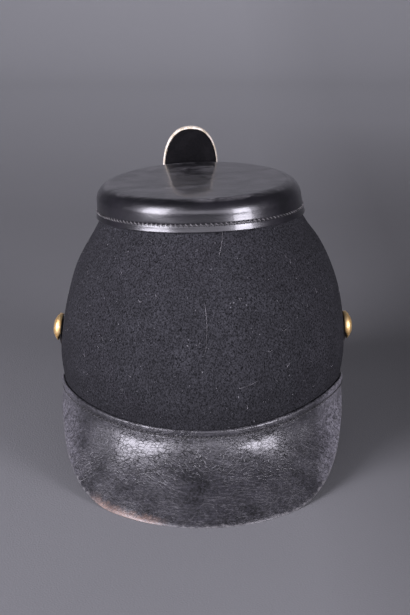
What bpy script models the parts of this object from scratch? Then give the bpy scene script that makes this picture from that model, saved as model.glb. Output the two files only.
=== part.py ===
"""Shako: a tall stiff cap with a cloth-covered felt body and a leather crown.

The wearer faces +Y and +Z is up. The cap stands on the rims of its two peaks, and the
origin is on that surface, under the middle of the bounding box. All sizes are in metres.

Pieces: felt body, leather crown, rear and front peak, chin strap, two domed buttons that
hold the strap, and an oval cockade (pad, braid and pin) on the front of the crown.
"""

import math

import bmesh
import bpy
import numpy as np
from mathutils import Matrix, Vector

# Clearance between two pieces that touch, and between a pin and its hole
GAP = 0.0003
PIN_CLEARANCE = 0.0003

# Wall thicknesses
FELT = 0.0030
CROWN_LEATHER = 0.0020
PEAK_LEATHER = 0.0022
STRAP_LEATHER = 0.0015

# Body, measured from its upright axis to the outside of the cloth
RIM_HEIGHT = 0.0370
BODY_HEIGHT = 0.1278
RIM_HALF_WIDTH = 0.0855
RIM_REAR = 0.0997
RIM_FRONT = 0.0980
NECK_HALF_WIDTH = 0.0594
NECK_REAR = 0.0630
NECK_FRONT = 0.0737
SIDE_SWAY = 0.0025

# Crown: how its flat top slopes, and how far its edge is turned down
NOD_SLOPE = 0.057
ROLL_SLOPE = 0.034
CROWN_ROUND = 0.0084
BAND_DEPTH_REAR = 0.0182
BAND_DEPTH_FRONT = 0.0228
WALL_TOP_DEPTH = 0.0094

# Peaks: height of the sewn flange, reach of the skirt past it, and how far it wraps round
FLANGE_HEIGHT = 0.0050
REAR_OVERHANG = 0.0396
FRONT_OVERHANG = 0.0404
TIP_ANGLE = math.radians(5.0)
TIP_SKIRT = 0.0020
TIP_LEATHER = 0.0015
TIP_TAPER = math.radians(12.0)
QUARTER_LIFT_LEFT = 0.0025
QUARTER_LIFT_RIGHT = 0.0058
OVERHANG_POWER = 2.3
RIM_LANDING = 0.90

# Chin strap and buttons
STRAP_WIDTH = 0.0140
STRAP_ABOVE_FLANGE = 0.0015
STRAP_SWEEP = math.radians(26.0)
STRAP_CURVE = 3.6
BUTTON_TURN = math.radians(4.0)
BUTTON_RISE = 0.0322
BUTTON_RADIUS = 0.0088
BUTTON_HEIGHT = 0.0038
BUTTON_LIP = 0.0016
BUTTON_HOLLOW = 0.0003
LIP_DIP = math.radians(-56.0)
LIP_OPEN = math.radians(88.0)
LIP_FULL = math.radians(112.0)
SHANK_RADIUS = 0.0022

# Cockade: a backing disc with a narrower plug in front of it, inside a ring of braid
COCKADE_HALF_WIDTH = 0.0170
COCKADE_HALF_HEIGHT = 0.0275
COCKADE_RISE = 0.0194
COCKADE_TURN = math.radians(5.6)
COCKADE_LEAN = math.radians(6.0)
COCKADE_POWER = 2.3
BACKING = 0.0022
BRAID_PAST_BACKING = 0.0011
BRAID_WIDTH = 0.0044
BRAID_DEPTH = 0.0050
FIELD_CROWN = 0.0022
PIN_RADIUS = 0.0015
PIN_BELOW_TOP = 0.0140
PIN_PAST_WALL = 0.0025

# How finely round pieces are divided
ROUND_STEPS = 56
PEAK_STEPS = 34
STRAP_STEPS = 50
BUTTON_STEPS = 24
OVAL_STEPS = 40

# How the body spreads from its neck (0) to its rim (1) at shares of its height.
# Columns: height, side spread, rear spread, front spread, sideways sway.
BODY_SECTIONS = (
    (0.00, 1.00, 1.00, 1.00, -0.10),
    (0.05, 1.035, 1.02, 1.01, -0.10),
    (0.11, 1.080, 1.04, 1.015, -0.10),
    (0.18, 1.115, 1.04, 1.00, -0.04),
    (0.26, 1.103, 1.01, 0.97, 0.05),
    (0.33, 1.065, 0.955, 0.925, 0.12),
    (0.40, 1.011, 0.88, 0.87, 0.22),
    (0.50, 0.897, 0.76, 0.75, 0.36),
    (0.60, 0.732, 0.59, 0.60, 0.26),
    (0.70, 0.483, 0.37, 0.39, 0.10),
    (0.78, 0.222, 0.17, 0.18, -0.28),
    (0.82, 0.113, 0.09, 0.08, -0.38),
    (0.86, 0.063, 0.04, 0.04, -0.55),
    (0.92, 0.030, 0.01, 0.01, -0.85),
    (1.00, 0.00, 0.00, 0.00, -1.20),
)

# How a peak's skirt bends out from its crease (0) to its rim (1).
# Columns: share of its fall, share of its reach.
SKIRT_SECTION = (
    (0.00, 0.000),
    (0.12, 0.030),
    (0.25, 0.105),
    (0.40, 0.240),
    (0.60, 0.475),
    (0.80, 0.735),
    (1.00, 1.000),
)

# Turned profile of a button. Columns: share of its radius, share of its height.
BUTTON_PROFILE = (
    (1.00, 0.14),
    (0.93, 0.22),
    (0.88, 0.19),
    (0.86, 0.42),
    (0.75, 0.58),
    (0.69, 0.54),
    (0.64, 0.70),
    (0.50, 0.88),
    (0.28, 0.98),
)

REAR_REACH = RIM_REAR + GAP + PEAK_LEATHER + REAR_OVERHANG
FRONT_REACH = RIM_FRONT + GAP + PEAK_LEATHER + FRONT_OVERHANG
AXIS_Y = (REAR_REACH - FRONT_REACH) / 2


def clear_scene():
    for obj in list(bpy.data.objects):
        bpy.data.objects.remove(obj)


def make_material(name, color, roughness, metallic=0.0):
    material = bpy.data.materials.new(name)
    material.use_nodes = True
    shader = material.node_tree.nodes["Principled BSDF"]
    shader.inputs["Base Color"].default_value = (*color, 1.0)
    shader.inputs["Roughness"].default_value = roughness
    shader.inputs["Metallic"].default_value = metallic
    return material


def column(table, index, at):
    """Smooth curve through one column of a table whose first column is the place."""
    rows = np.array(table)
    places, values = rows[:, 0], rows[:, index]
    slopes = np.gradient(values, places)
    at = np.clip(at, places[0], places[-1])
    low = np.clip(np.searchsorted(places, at, side="right") - 1, 0, len(places) - 2)
    span = places[low + 1] - places[low]
    t = (at - places[low]) / span
    start = values[low] * (1 + 2 * t) * (1 - t) ** 2 + slopes[low] * span * t * (1 - t) ** 2
    end = values[low + 1] * t**2 * (3 - 2 * t) + slopes[low + 1] * span * t**2 * (t - 1)
    return start + end


def plan_normal(angle, half_width, reach):
    """Outward direction, in plan, of an oval at an angle."""
    normal = np.stack([np.cos(angle) / half_width, np.sin(angle) / reach], axis=-1)
    return normal / np.linalg.norm(normal, axis=-1, keepdims=True)


def top_height(x, y):
    """Height of the crown's flat top above a point of the plan."""
    return RIM_HEIGHT + BODY_HEIGHT - NOD_SLOPE * y + ROLL_SLOPE * x


def body_point(angle, share, outset=0.0):
    """Point on the cloth at an angle and a share of the body's height, moved out level."""
    angle, share = np.broadcast_arrays(np.asarray(angle, float), np.asarray(share, float))
    half_width = NECK_HALF_WIDTH + (RIM_HALF_WIDTH - NECK_HALF_WIDTH) * column(BODY_SECTIONS, 1, share)
    rear = NECK_REAR + (RIM_REAR - NECK_REAR) * column(BODY_SECTIONS, 2, share)
    front = NECK_FRONT + (RIM_FRONT - NECK_FRONT) * column(BODY_SECTIONS, 3, share)
    sway = SIDE_SWAY * column(BODY_SECTIONS, 4, share)
    reach = np.where(np.sin(angle) < 0, rear, front)
    plan = np.stack([half_width * np.cos(angle) + sway, reach * np.sin(angle)], axis=-1)
    plan = plan + plan_normal(angle, half_width, reach) * np.asarray(outset)[..., None]
    x, y = plan[..., 0], plan[..., 1]
    z = RIM_HEIGHT + share * (top_height(x, y) - RIM_HEIGHT)
    return np.stack([x, y + AXIS_Y, z], axis=-1)


def share_below_top(depth):
    """Share of the body's height that lies a depth below the crown's top."""
    return 1 - depth / BODY_HEIGHT


def loft(name, rings, material, closed=False):
    """Joins rings of points with quads. The ends are filled, or the last ring meets the first."""
    mesh = bmesh.new()
    loops = [[mesh.verts.new(point) for point in ring] for ring in rings]
    pairs = list(zip(loops, loops[1:]))
    if closed:
        pairs.append((loops[-1], loops[0]))
    else:
        mesh.faces.new(loops[0])
        mesh.faces.new(loops[-1])
    for low, high in pairs:
        for i, start in enumerate(low):
            j = (i + 1) % len(low)
            mesh.faces.new((start, low[j], high[j], high[i]))
    bmesh.ops.recalc_face_normals(mesh, faces=mesh.faces)
    return finish(name, mesh, material)


def finish(name, mesh, material, smooth_angle=math.radians(40)):
    """Turns a bmesh into a named object with its material."""
    data = bpy.data.meshes.new(name)
    mesh.to_mesh(data)
    mesh.free()
    data.materials.append(material)
    data.shade_smooth()
    data.set_sharp_from_angle(angle=smooth_angle)
    obj = bpy.data.objects.new(name, data)
    bpy.context.scene.collection.objects.link(obj)
    return obj


def around():
    """Angles of one turn round the body, without the repeated end."""
    return np.linspace(0, 2 * math.pi, ROUND_STEPS, endpoint=False)


def build_body(material):
    """Felt wall, open below for the head and above under the crown."""
    angle = around()
    shares = [row[0] for row in BODY_SECTIONS if row[0] < share_below_top(WALL_TOP_DEPTH)]
    shares.append(share_below_top(WALL_TOP_DEPTH))
    outer = [body_point(angle, share) for share in shares]
    inner = [body_point(angle, share, -FELT) for share in shares[::-2]]
    return loft("body", outer + inner, material, closed=True)


def crown_side(angle, outset, corner, rows=(0, 0.2, 0.45, 0.75), turns=6):
    """Rings of one face of the crown, from its stitched edge up and over the rounded corner."""
    middle = (BAND_DEPTH_FRONT + BAND_DEPTH_REAR) / 2
    swing = (BAND_DEPTH_FRONT - BAND_DEPTH_REAR) / 2
    edge = share_below_top(middle + swing * np.sin(angle))
    start = share_below_top(CROWN_ROUND)
    rings = [body_point(angle, edge + (start - edge) * t, outset) for t in rows]
    for turn in np.linspace(0, math.pi / 2, turns):
        inset = corner * (1 - math.cos(turn))
        depth = CROWN_ROUND - corner * math.sin(turn)
        rings.append(body_point(angle, share_below_top(depth), outset - inset))
    return rings


def build_crown(material):
    """Leather top with its edge turned down over the top of the body."""
    angle = around()
    inner = crown_side(angle, GAP, CROWN_ROUND - CROWN_LEATHER, rows=(0, 0.3, 0.65), turns=4)
    outer = crown_side(angle, GAP + CROWN_LEATHER, CROWN_ROUND)
    return loft("crown", inner[::-1] + outer, material)


def offset_line(line, distance):
    """Line of (out, up) points moved to its inner side, with mitred corners."""
    step = np.diff(line, axis=0)
    step = step / np.linalg.norm(step, axis=1, keepdims=True)
    side = np.stack([-step[:, 1], step[:, 0]], axis=1)
    before = np.concatenate([side[:1], side])
    after = np.concatenate([side, side[-1:]])
    miter = (before + after) / (1 + (before * after).sum(1))[:, None]
    return line - distance * miter


def flange_height(angle, wrap):
    """Height of the sewn flange, which climbs a little at the two rear quarters."""
    if math.sin(angle) > 0:
        return FLANGE_HEIGHT
    lift = QUARTER_LIFT_RIGHT if math.cos(angle) > 0 else QUARTER_LIFT_LEFT
    return FLANGE_HEIGHT + lift * math.sin(math.pi * (wrap / math.pi * 2) ** 0.6) ** 2


def peak_section(angle, overhang, wrap):
    """Closed ring of one cut through a peak: up the outside, and back down the inside."""
    reach = math.sin(wrap)
    leather = TIP_LEATHER + (PEAK_LEATHER - TIP_LEATHER) * min((wrap - TIP_ANGLE) / TIP_TAPER, 1.0)
    seated = GAP + leather
    landing = min(reach / RIM_LANDING, 1.0)
    rim_height = RIM_HEIGHT * (1 - landing**1.8) ** 1.4
    rim_height = min(rim_height, RIM_HEIGHT - TIP_SKIRT)
    out = overhang * reach**OVERHANG_POWER
    seat = body_point(angle, 0.0)
    half_width, depth = (RIM_HALF_WIDTH, RIM_REAR if math.sin(angle) < 0 else RIM_FRONT)
    outward = plan_normal(angle, half_width, depth)
    flange_share = flange_height(angle, wrap) / BODY_HEIGHT
    line = []
    for share in (flange_share, flange_share / 2):
        on_body = body_point(angle, share)
        line.append([(on_body - seat)[:2] @ outward + seated, on_body[2]])
    crease = np.array([seated, RIM_HEIGHT])
    foot = np.array([seated + out, rim_height])
    for t in (0, 0.12, 0.25, 0.4, 0.6, 0.8, 1):
        bend = np.array([column(SKIRT_SECTION, 1, t), t])
        line.append(crease + (foot - crease) * bend)
    line = np.array(line)
    inside = offset_line(line, leather)
    slope = (line[-1] - line[-2]) / (line[-1] - line[-2])[1]
    inside[-1] = inside[-1] + slope * (rim_height - inside[-1][1])
    ring = np.concatenate([line, inside[::-1]])
    plan = seat[:2] + ring[:, :1] * outward
    return np.concatenate([plan, ring[:, 1:]], axis=1)


def build_peak(name, middle, overhang, material):
    """Leather peak with a flange sewn flat on the body and a skirt that stands on its rim."""
    rings = []
    for turn in np.linspace(TIP_ANGLE, math.pi - TIP_ANGLE, PEAK_STEPS + 1):
        wrap = min(turn, math.pi - turn)
        rings.append(peak_section(middle - math.pi / 2 + turn, overhang, wrap))
    return loft(name, rings, material)


def strap_share(angle):
    """Share of the body's height at the strap's middle: straight past a button, down, then level."""
    level = (FLANGE_HEIGHT + STRAP_ABOVE_FLANGE + STRAP_WIDTH / 2) / BODY_HEIGHT
    button = BUTTON_RISE / BODY_HEIGHT
    from_button = np.minimum(angle, math.pi - angle) - BUTTON_TURN
    fall = np.clip(1 - from_button / STRAP_SWEEP, 0, 1) ** STRAP_CURVE
    past_button = np.clip(-from_button / STRAP_SWEEP, 0, None)
    return level + (button - level) * (fall + STRAP_CURVE * past_button)


def surface_steps(angle, share):
    """Length of a unit step in angle and in share, and the outward normal, on the cloth."""
    tiny = 1e-4
    along = (body_point(angle + tiny, share) - body_point(angle - tiny, share)) / (2 * tiny)
    up = (body_point(angle, share + tiny) - body_point(angle, share - tiny)) / (2 * tiny)
    normal = np.cross(along, up)
    return along, up, normal / np.linalg.norm(normal)


def strap_step(angle):
    """How far the strap runs round the cloth and up it, per unit step in angle."""
    along, up, _ = surface_steps(angle, strap_share(angle))
    tiny = 1e-3
    climb = (strap_share(angle + tiny) - strap_share(angle - tiny)) / (2 * tiny)
    return np.linalg.norm(along), climb * np.linalg.norm(up), np.linalg.norm(up)


def strap_section(angle, half_width):
    """Closed ring of one cut across the strap, lying on the cloth."""
    share = strap_share(angle)
    run, rise, height_step = strap_step(angle)
    length = math.hypot(run, rise)
    ring = []
    inner = ((-1, 0), (-0.5, 0), (0, 0), (0.5, 0), (1, 0))
    outer = ((1, 1), (0.92, 1), (0, 1), (-0.92, 1), (-1, 1))
    for side, lift in inner + outer:
        across = side * half_width
        at_angle = angle - across * rise / length / run
        at_share = share + across * run / length / height_step
        normal = surface_steps(at_angle, at_share)[2]
        height = GAP + lift * STRAP_LEATHER * (1 if abs(side) < 1 else 0.75)
        ring.append(body_point(at_angle, at_share) + normal * height)
    return ring


def build_strap(material):
    """Chin strap, stored round the front from one button to the other."""
    end = STRAP_WIDTH / 2
    around_end = end / math.hypot(*strap_step(BUTTON_TURN)[:2])
    end_turns = BUTTON_TURN - around_end * np.cos(np.linspace(0.15, math.pi / 2, 5))
    middle_turns = np.linspace(BUTTON_TURN, math.pi - BUTTON_TURN, STRAP_STEPS + 1)[1:-1]
    turns = np.concatenate([end_turns, middle_turns, math.pi - end_turns[::-1]])
    rings = []
    for turn in turns:
        past = max(BUTTON_TURN - turn, turn - math.pi + BUTTON_TURN, 0) / around_end
        rings.append(strap_section(turn, end * math.sqrt(1 - past**2)))
    return loft("chin_strap", rings, material)


def upright_frame(point, outward, up=Vector((0, 0, 1))):
    """Matrix whose Z is outward and whose Y is as near up as can be, at a point."""
    z = Vector(outward).normalized()
    x = up.cross(z).normalized()
    y = z.cross(x)
    return Matrix.Translation(point) @ Matrix((x, y, z)).transposed().to_4x4()


def button_frame(angle):
    share = BUTTON_RISE / BODY_HEIGHT
    normal = surface_steps(angle, share)[2]
    seat = body_point(angle, share) + normal * (2 * GAP + STRAP_LEATHER)
    return upright_frame(Vector(seat), normal)


def lip_drop(x, y, way):
    """Share of the lip's depth at a side of the button: none where the strap leaves, under it."""
    strap = math.atan2(math.sin(LIP_DIP), way * math.cos(LIP_DIP))
    turn = abs((math.atan2(y, x) - strap + math.pi) % (2 * math.pi) - math.pi)
    return min(max((turn - LIP_OPEN) / (LIP_FULL - LIP_OPEN), 0.0), 1.0)


def build_button(name, frame, way, material):
    """Domed button with ring steps and a lip, turned in one piece with the strap's shank.

    The lip reaches past the end of the strap, down to the cloth. way is the side, along the
    frame's X, to which the strap leaves."""
    shank_foot = -(STRAP_LEATHER + GAP)
    lip_inside = (STRAP_WIDTH / 2 + GAP) / math.cos(math.radians(10))
    profile = [(0.0, shank_foot), (SHANK_RADIUS, shank_foot), (SHANK_RADIUS, BUTTON_HOLLOW)]
    profile += [(lip_inside, BUTTON_HOLLOW), (lip_inside, 0.0), (BUTTON_RADIUS * 0.97, 0.0)]
    profile += [(BUTTON_RADIUS * r, BUTTON_HEIGHT * h) for r, h in BUTTON_PROFILE]
    profile.append((0.0, BUTTON_HEIGHT))
    mesh = bmesh.new()
    verts = [mesh.verts.new((r, 0, h)) for r, h in profile]
    edges = [mesh.edges.new(pair) for pair in zip(verts, verts[1:])]
    bmesh.ops.spin(
        mesh, geom=verts + edges, axis=(0, 0, 1), cent=(0, 0, 0),
        angle=2 * math.pi, steps=BUTTON_STEPS, use_merge=True,
    )
    bmesh.ops.remove_doubles(mesh, verts=mesh.verts, dist=1e-6)
    for vert in mesh.verts:
        if vert.co.xy.length > SHANK_RADIUS * 1.5 and abs(vert.co.z) < 1e-6:
            vert.co.z = -BUTTON_LIP * lip_drop(vert.co.x, vert.co.y, way)
    bmesh.ops.recalc_face_normals(mesh, faces=mesh.faces)
    obj = finish(name, mesh, material)
    obj.matrix_world = frame
    return obj


def cut_with_cylinder(obj, frame, radius, low, high):
    """Cuts a round hole through obj along a frame's Z, between two heights."""
    mesh = bmesh.new()
    place = frame @ Matrix.Translation((0, 0, (low + high) / 2))
    bmesh.ops.create_cone(
        mesh, cap_ends=True, segments=16, radius1=radius, radius2=radius, depth=high - low, matrix=place,
    )
    cutter = finish(obj.name + "_hole_" + str(len(obj.modifiers)), mesh, obj.data.materials[0])
    cutter.hide_render = True
    cutter.display_type = "WIRE"
    modifier = obj.modifiers.new("Hole", "BOOLEAN")
    modifier.operation = "DIFFERENCE"
    modifier.object = cutter


def oval(half_width, half_height, height):
    """Ring of a squarish oval, level at a height in the cockade's frame."""
    angle = np.linspace(0, 2 * math.pi, OVAL_STEPS, endpoint=False)
    c, s = np.cos(angle), np.sin(angle)
    x = half_width * np.sign(c) * np.abs(c) ** (2 / COCKADE_POWER)
    y = half_height * np.sign(s) * np.abs(s) ** (2 / COCKADE_POWER)
    return np.stack([x, y, np.full_like(x, height)], axis=1)


def cockade_frame():
    """Frame of the cockade's back: leaning on the front of the cap, clear of it by a gap."""
    outward = Vector((-math.sin(COCKADE_TURN), math.cos(COCKADE_TURN), 0.0))
    reach = NECK_FRONT + GAP + CROWN_LEATHER
    centre = Vector((0, AXIS_Y, 0)) + outward * reach
    centre.z = top_height(0, NECK_FRONT) - COCKADE_HALF_HEIGHT + COCKADE_RISE
    lean = Matrix.Rotation(COCKADE_LEAN, 4, outward.cross(Vector((0, 0, 1))))
    frame = upright_frame(centre, lean @ outward, up=lean @ Vector((0, 0, 1)))
    angle = np.linspace(0, math.pi, ROUND_STEPS + 1)
    rings = [body_point(angle, share) for share in np.linspace(0.6, share_below_top(CROWN_ROUND), 25)]
    rings += crown_side(angle, GAP + CROWN_LEATHER, CROWN_ROUND)
    to_local = np.array(frame.inverted())
    points = np.concatenate(rings) @ to_local[:3, :3].T + to_local[:3, 3]
    near = COCKADE_HALF_HEIGHT + BRAID_PAST_BACKING
    inside = (np.abs(points[:, 0]) < COCKADE_HALF_WIDTH) & (np.abs(points[:, 1]) < near)
    return frame @ Matrix.Translation((0, 0, points[inside, 2].max() + GAP))


def build_cockade(frame, pad_material, braid_material):
    """Oval pad, and the ring of braid round its raised field."""
    outer_width = COCKADE_HALF_WIDTH + BRAID_PAST_BACKING
    outer_height = COCKADE_HALF_HEIGHT + BRAID_PAST_BACKING
    field_width = outer_width - BRAID_WIDTH - GAP
    field_height = outer_height - BRAID_WIDTH - GAP
    edge = 0.0004
    rings = [oval(COCKADE_HALF_WIDTH - edge, COCKADE_HALF_HEIGHT - edge, 0.0)]
    rings.append(oval(COCKADE_HALF_WIDTH, COCKADE_HALF_HEIGHT, edge))
    rings.append(oval(COCKADE_HALF_WIDTH, COCKADE_HALF_HEIGHT, BACKING))
    rings.append(oval(field_width, field_height, BACKING))
    for turn in np.linspace(0, math.pi / 2 - 0.2, 6):
        size = math.cos(turn)
        height = BACKING + BRAID_DEPTH * 0.6 + FIELD_CROWN * math.sin(turn)
        rings.append(oval(field_width * size, field_height * size, height))
    pad = loft("cockade_pad", rings, pad_material)

    rings = []
    for turn in np.linspace(0, 2 * math.pi, 12, endpoint=False):
        inset = BRAID_WIDTH * (1 - math.cos(turn)) / 2
        squared = np.sign(math.sin(turn)) * abs(math.sin(turn)) ** 0.6
        height = BACKING + GAP + BRAID_DEPTH * (1 + squared) / 2
        rings.append(oval(outer_width - inset, outer_height - inset, height))
    braid = loft("cockade_braid", rings, braid_material, closed=True)

    for obj in (pad, braid):
        obj.matrix_world = frame
    return pad, braid


def build_pin(frame, material, *holed):
    """Straight pin from the back of the pad to the inside of the body, and its holes."""
    place = np.array(frame.translation) - np.array([0, AXIS_Y, 0])
    drop = place[2] - (top_height(place[0], NECK_FRONT) - PIN_BELOW_TOP)
    pin_frame = frame @ Matrix.Translation((0, -drop, 0))
    wall = np.linalg.norm(place[:2]) - NECK_FRONT + FELT + PIN_PAST_WALL
    mesh = bmesh.new()
    length = wall - GAP
    bmesh.ops.create_cone(
        mesh, cap_ends=True, segments=16, radius1=PIN_RADIUS, radius2=PIN_RADIUS, depth=length,
        matrix=Matrix.Translation((0, 0, -GAP - length / 2)),
    )
    pin = finish("cockade_pin", mesh, material)
    pin.matrix_world = pin_frame
    for obj in holed:
        cut_with_cylinder(obj, pin_frame, PIN_RADIUS + PIN_CLEARANCE, -wall - PIN_PAST_WALL, 0.0)
    return pin


def build():
    clear_scene()
    cloth = make_material("black_cloth", (0.018, 0.018, 0.024), 0.95)
    leather = make_material("crown_leather", (0.010, 0.010, 0.012), 0.25)
    peak_leather = make_material("peak_leather", (0.016, 0.015, 0.018), 0.38)
    strap_leather = make_material("strap_leather", (0.012, 0.012, 0.013), 0.35)
    gilt = make_material("gilt_brass", (0.83, 0.58, 0.22), 0.22, 1.0)
    bullion = make_material("gold_bullion", (0.86, 0.76, 0.52), 0.35, 1.0)
    velvet = make_material("black_velvet", (0.008, 0.008, 0.009), 0.95)
    steel = make_material("steel_pin", (0.45, 0.45, 0.46), 0.35, 1.0)

    body = build_body(cloth)
    crown = build_crown(leather)
    build_peak("rear_peak", -math.pi / 2, REAR_OVERHANG, peak_leather)
    build_peak("front_peak", math.pi / 2, FRONT_OVERHANG, peak_leather)

    strap = build_strap(strap_leather)
    for name, turn, way in (("button_right", BUTTON_TURN, 1), ("button_left", math.pi - BUTTON_TURN, -1)):
        frame = button_frame(turn)
        build_button(name, frame, way, gilt)
        cut_with_cylinder(strap, frame, SHANK_RADIUS + PIN_CLEARANCE, -2 * (STRAP_LEATHER + GAP), STRAP_LEATHER)

    frame = cockade_frame()
    build_cockade(frame, velvet, bullion)
    build_pin(frame, steel, crown, body)


build()
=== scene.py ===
# %% [markdown]
# # A cloth and leather shako, seen from behind
#
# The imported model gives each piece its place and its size. This lesson dresses it: every
# piece but the cockade's pin is worked out again as a smooth surface on a fine grid, in the
# same frame, and each kind of leather, cloth and metal gets a material of its own. The
# wearer faces +Y, +Z is up, and the cap stands on the rims of its two peaks. All sizes are
# in metres.

# %% Load the model
import math

import bmesh
import bpy
import numpy as np
from mathutils import Matrix, Vector


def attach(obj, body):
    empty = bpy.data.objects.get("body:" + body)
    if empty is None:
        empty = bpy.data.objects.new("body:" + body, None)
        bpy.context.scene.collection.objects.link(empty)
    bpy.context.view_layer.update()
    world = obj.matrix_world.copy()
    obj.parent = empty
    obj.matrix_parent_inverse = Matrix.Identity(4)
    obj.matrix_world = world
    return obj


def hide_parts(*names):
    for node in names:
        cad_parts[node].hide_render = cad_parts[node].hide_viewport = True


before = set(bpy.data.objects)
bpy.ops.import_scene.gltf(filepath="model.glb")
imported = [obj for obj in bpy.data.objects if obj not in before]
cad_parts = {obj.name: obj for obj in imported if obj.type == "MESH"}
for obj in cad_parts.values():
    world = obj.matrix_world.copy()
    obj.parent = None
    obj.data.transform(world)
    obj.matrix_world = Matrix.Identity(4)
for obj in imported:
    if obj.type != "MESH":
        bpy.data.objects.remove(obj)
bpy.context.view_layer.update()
print("CAD pieces:", ", ".join(sorted(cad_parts)))

# %% [markdown]
# ## One tool for every surface
#
# Cloth, leather and metal are all thin walls here, and a thin wall is a grid of points:
# rows go one way over it and columns the other. One helper joins such a grid with faces.
# It can close the grid into a ring either way, and it can fill the ring at each end with
# a fan, so that every wall comes out as one closed skin.

# %% Join a grid of points with faces
def quads(index):
    """Faces (r, c), (r, c+1), (r+1, c+1), (r+1, c) of a grid of point numbers in closed rings."""
    beside = np.roll(index, -1, axis=-1)
    corners = [index[..., :-1, :], beside[..., :-1, :], beside[..., 1:, :], index[..., 1:, :]]
    return np.stack(corners, axis=-1).reshape(-1, 4)


def surface(name, points, materials, ring_rows=False, fill_ends=False, marks=None, slots=None):
    """Mesh over points[row, column], whose columns always close into a ring.

    Rows do too with ring_rows, and fill_ends closes the first and last row with a fan of
    triangles. marks are numbers kept at each point, and slots each face's material."""
    rows, columns = points.shape[:2]
    index = np.arange(rows * columns).reshape(rows, columns)
    faces = quads(np.vstack([index, index[:1]]) if ring_rows else index).tolist()
    vertices = points.reshape(-1, 3)
    if fill_ends:
        for end in (0, rows - 1):
            centre = np.full(columns, len(vertices))
            vertices = np.vstack([vertices, points[end].mean(axis=0)])
            faces += np.stack([index[end], np.roll(index[end], -1), centre], axis=-1).tolist()
    return mesh_object(name, vertices, faces, materials, marks, slots)


def capped_tubes(tubes):
    """Points and faces of many tubes[tube, row, column] at once, each closed by its end rings."""
    index = np.arange(tubes[..., 0].size).reshape(tubes.shape[:3])
    faces = quads(index).tolist() + index[:, 0].tolist() + index[:, -1, ::-1].tolist()
    return tubes.reshape(-1, 3), faces


def mesh_object(name, vertices, faces, materials, marks=None, slots=None):
    """Object with smooth faces turned outward, carrying its materials and marks."""
    mesh = bpy.data.meshes.new(name)
    mesh.from_pydata(vertices.tolist(), [], faces)
    for label, values in (marks or {}).items():
        flat = np.zeros(len(vertices))
        flat[:np.size(values)] = np.ravel(values)
        mesh.attributes.new(label, "FLOAT", "POINT").data.foreach_set("value", flat)
    turned = bmesh.new()
    turned.from_mesh(mesh)
    bmesh.ops.recalc_face_normals(turned, faces=turned.faces)
    turned.to_mesh(mesh)
    turned.free()
    mesh.shade_smooth()
    for material in materials if isinstance(materials, (list, tuple)) else [materials]:
        mesh.materials.append(material)
    if slots is not None:
        mesh.polygons.foreach_set("material_index", slots)
    made = bpy.data.objects.new(name, mesh)
    bpy.context.scene.collection.objects.link(made)
    print(f"{name}: {len(vertices)} points, {len(faces)} faces")
    return made


def fit(piece, slot, *nodes):
    """Makes a piece ride with the cap and stand for its CAD nodes. The slot is not used."""
    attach(piece, "root")
    if nodes:
        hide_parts(*nodes)
    return piece


# %% Arithmetic on whole arrays
def unit(vectors):
    """Vectors divided by their lengths."""
    return vectors / np.linalg.norm(vectors, axis=-1, keepdims=True)


def circle(steps):
    """Evenly spaced angles round a full turn, without the first again at the end."""
    return np.linspace(0, 2 * math.pi, steps, endpoint=False)


def run_along(line):
    """Length run so far at each point of line[..., point, axis]."""
    run = np.linalg.norm(np.diff(line, axis=-2), axis=-1).cumsum(axis=-1)
    return np.concatenate([np.zeros_like(run[..., :1]), run], axis=-1)


def smooth_column(table, index, at):
    """Smooth curve through one column of a table whose first column is the place.

    Between two rows, cubic Hermite: h(t) = v0 (1+2t)(1-t)^2 + m0 t (1-t)^2 + v1 t^2 (3-2t)
    + m1 t^2 (t-1), with the slopes m from the rows on either side."""
    rows = np.array(table)
    places, values = rows[:, 0], rows[:, index]
    slopes = np.gradient(values, places)
    at = np.clip(at, places[0], places[-1])
    low = np.clip(np.searchsorted(places, at, side="right") - 1, 0, len(places) - 2)
    span = places[low + 1] - places[low]
    t = (at - places[low]) / span
    start = values[low] * (1 + 2 * t) * (1 - t) ** 2 + slopes[low] * span * t * (1 - t) ** 2
    end = values[low + 1] * t**2 * (3 - 2 * t) + slopes[low + 1] * span * t**2 * (t - 1)
    return start + end


def ease(low, high, at):
    """0 below low, 1 above high, and 3t^2 - 2t^3 between."""
    t = np.clip((at - low) / (high - low), 0, 1)
    return t * t * (3 - 2 * t)


# %% [markdown]
# ## The shape of the body
#
# A hatter blocks the felt on a wooden form, so one formula holds the whole cap together:
# a level oval at each height, wider at the rim than at the neck, bulging in between.
# Everything else is measured from it. The crown is the same oval moved out, the peaks are
# sewn to it, and the strap lies on it. These are the sizes of the CAD model.

# %% Sizes of the felt body
GAP = 0.0003
FELT = 0.0030
RIM_HEIGHT = 0.0370
BODY_HEIGHT = 0.1278
RIM_HALF_WIDTH = 0.0855
RIM_REAR = 0.0997
RIM_FRONT = 0.0980
NECK_HALF_WIDTH = 0.0594
NECK_REAR = 0.0630
NECK_FRONT = 0.0737
SIDE_SWAY = 0.0025
NOD_SLOPE = 0.057
ROLL_SLOPE = 0.034
AXIS_Y = 0.00045

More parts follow.
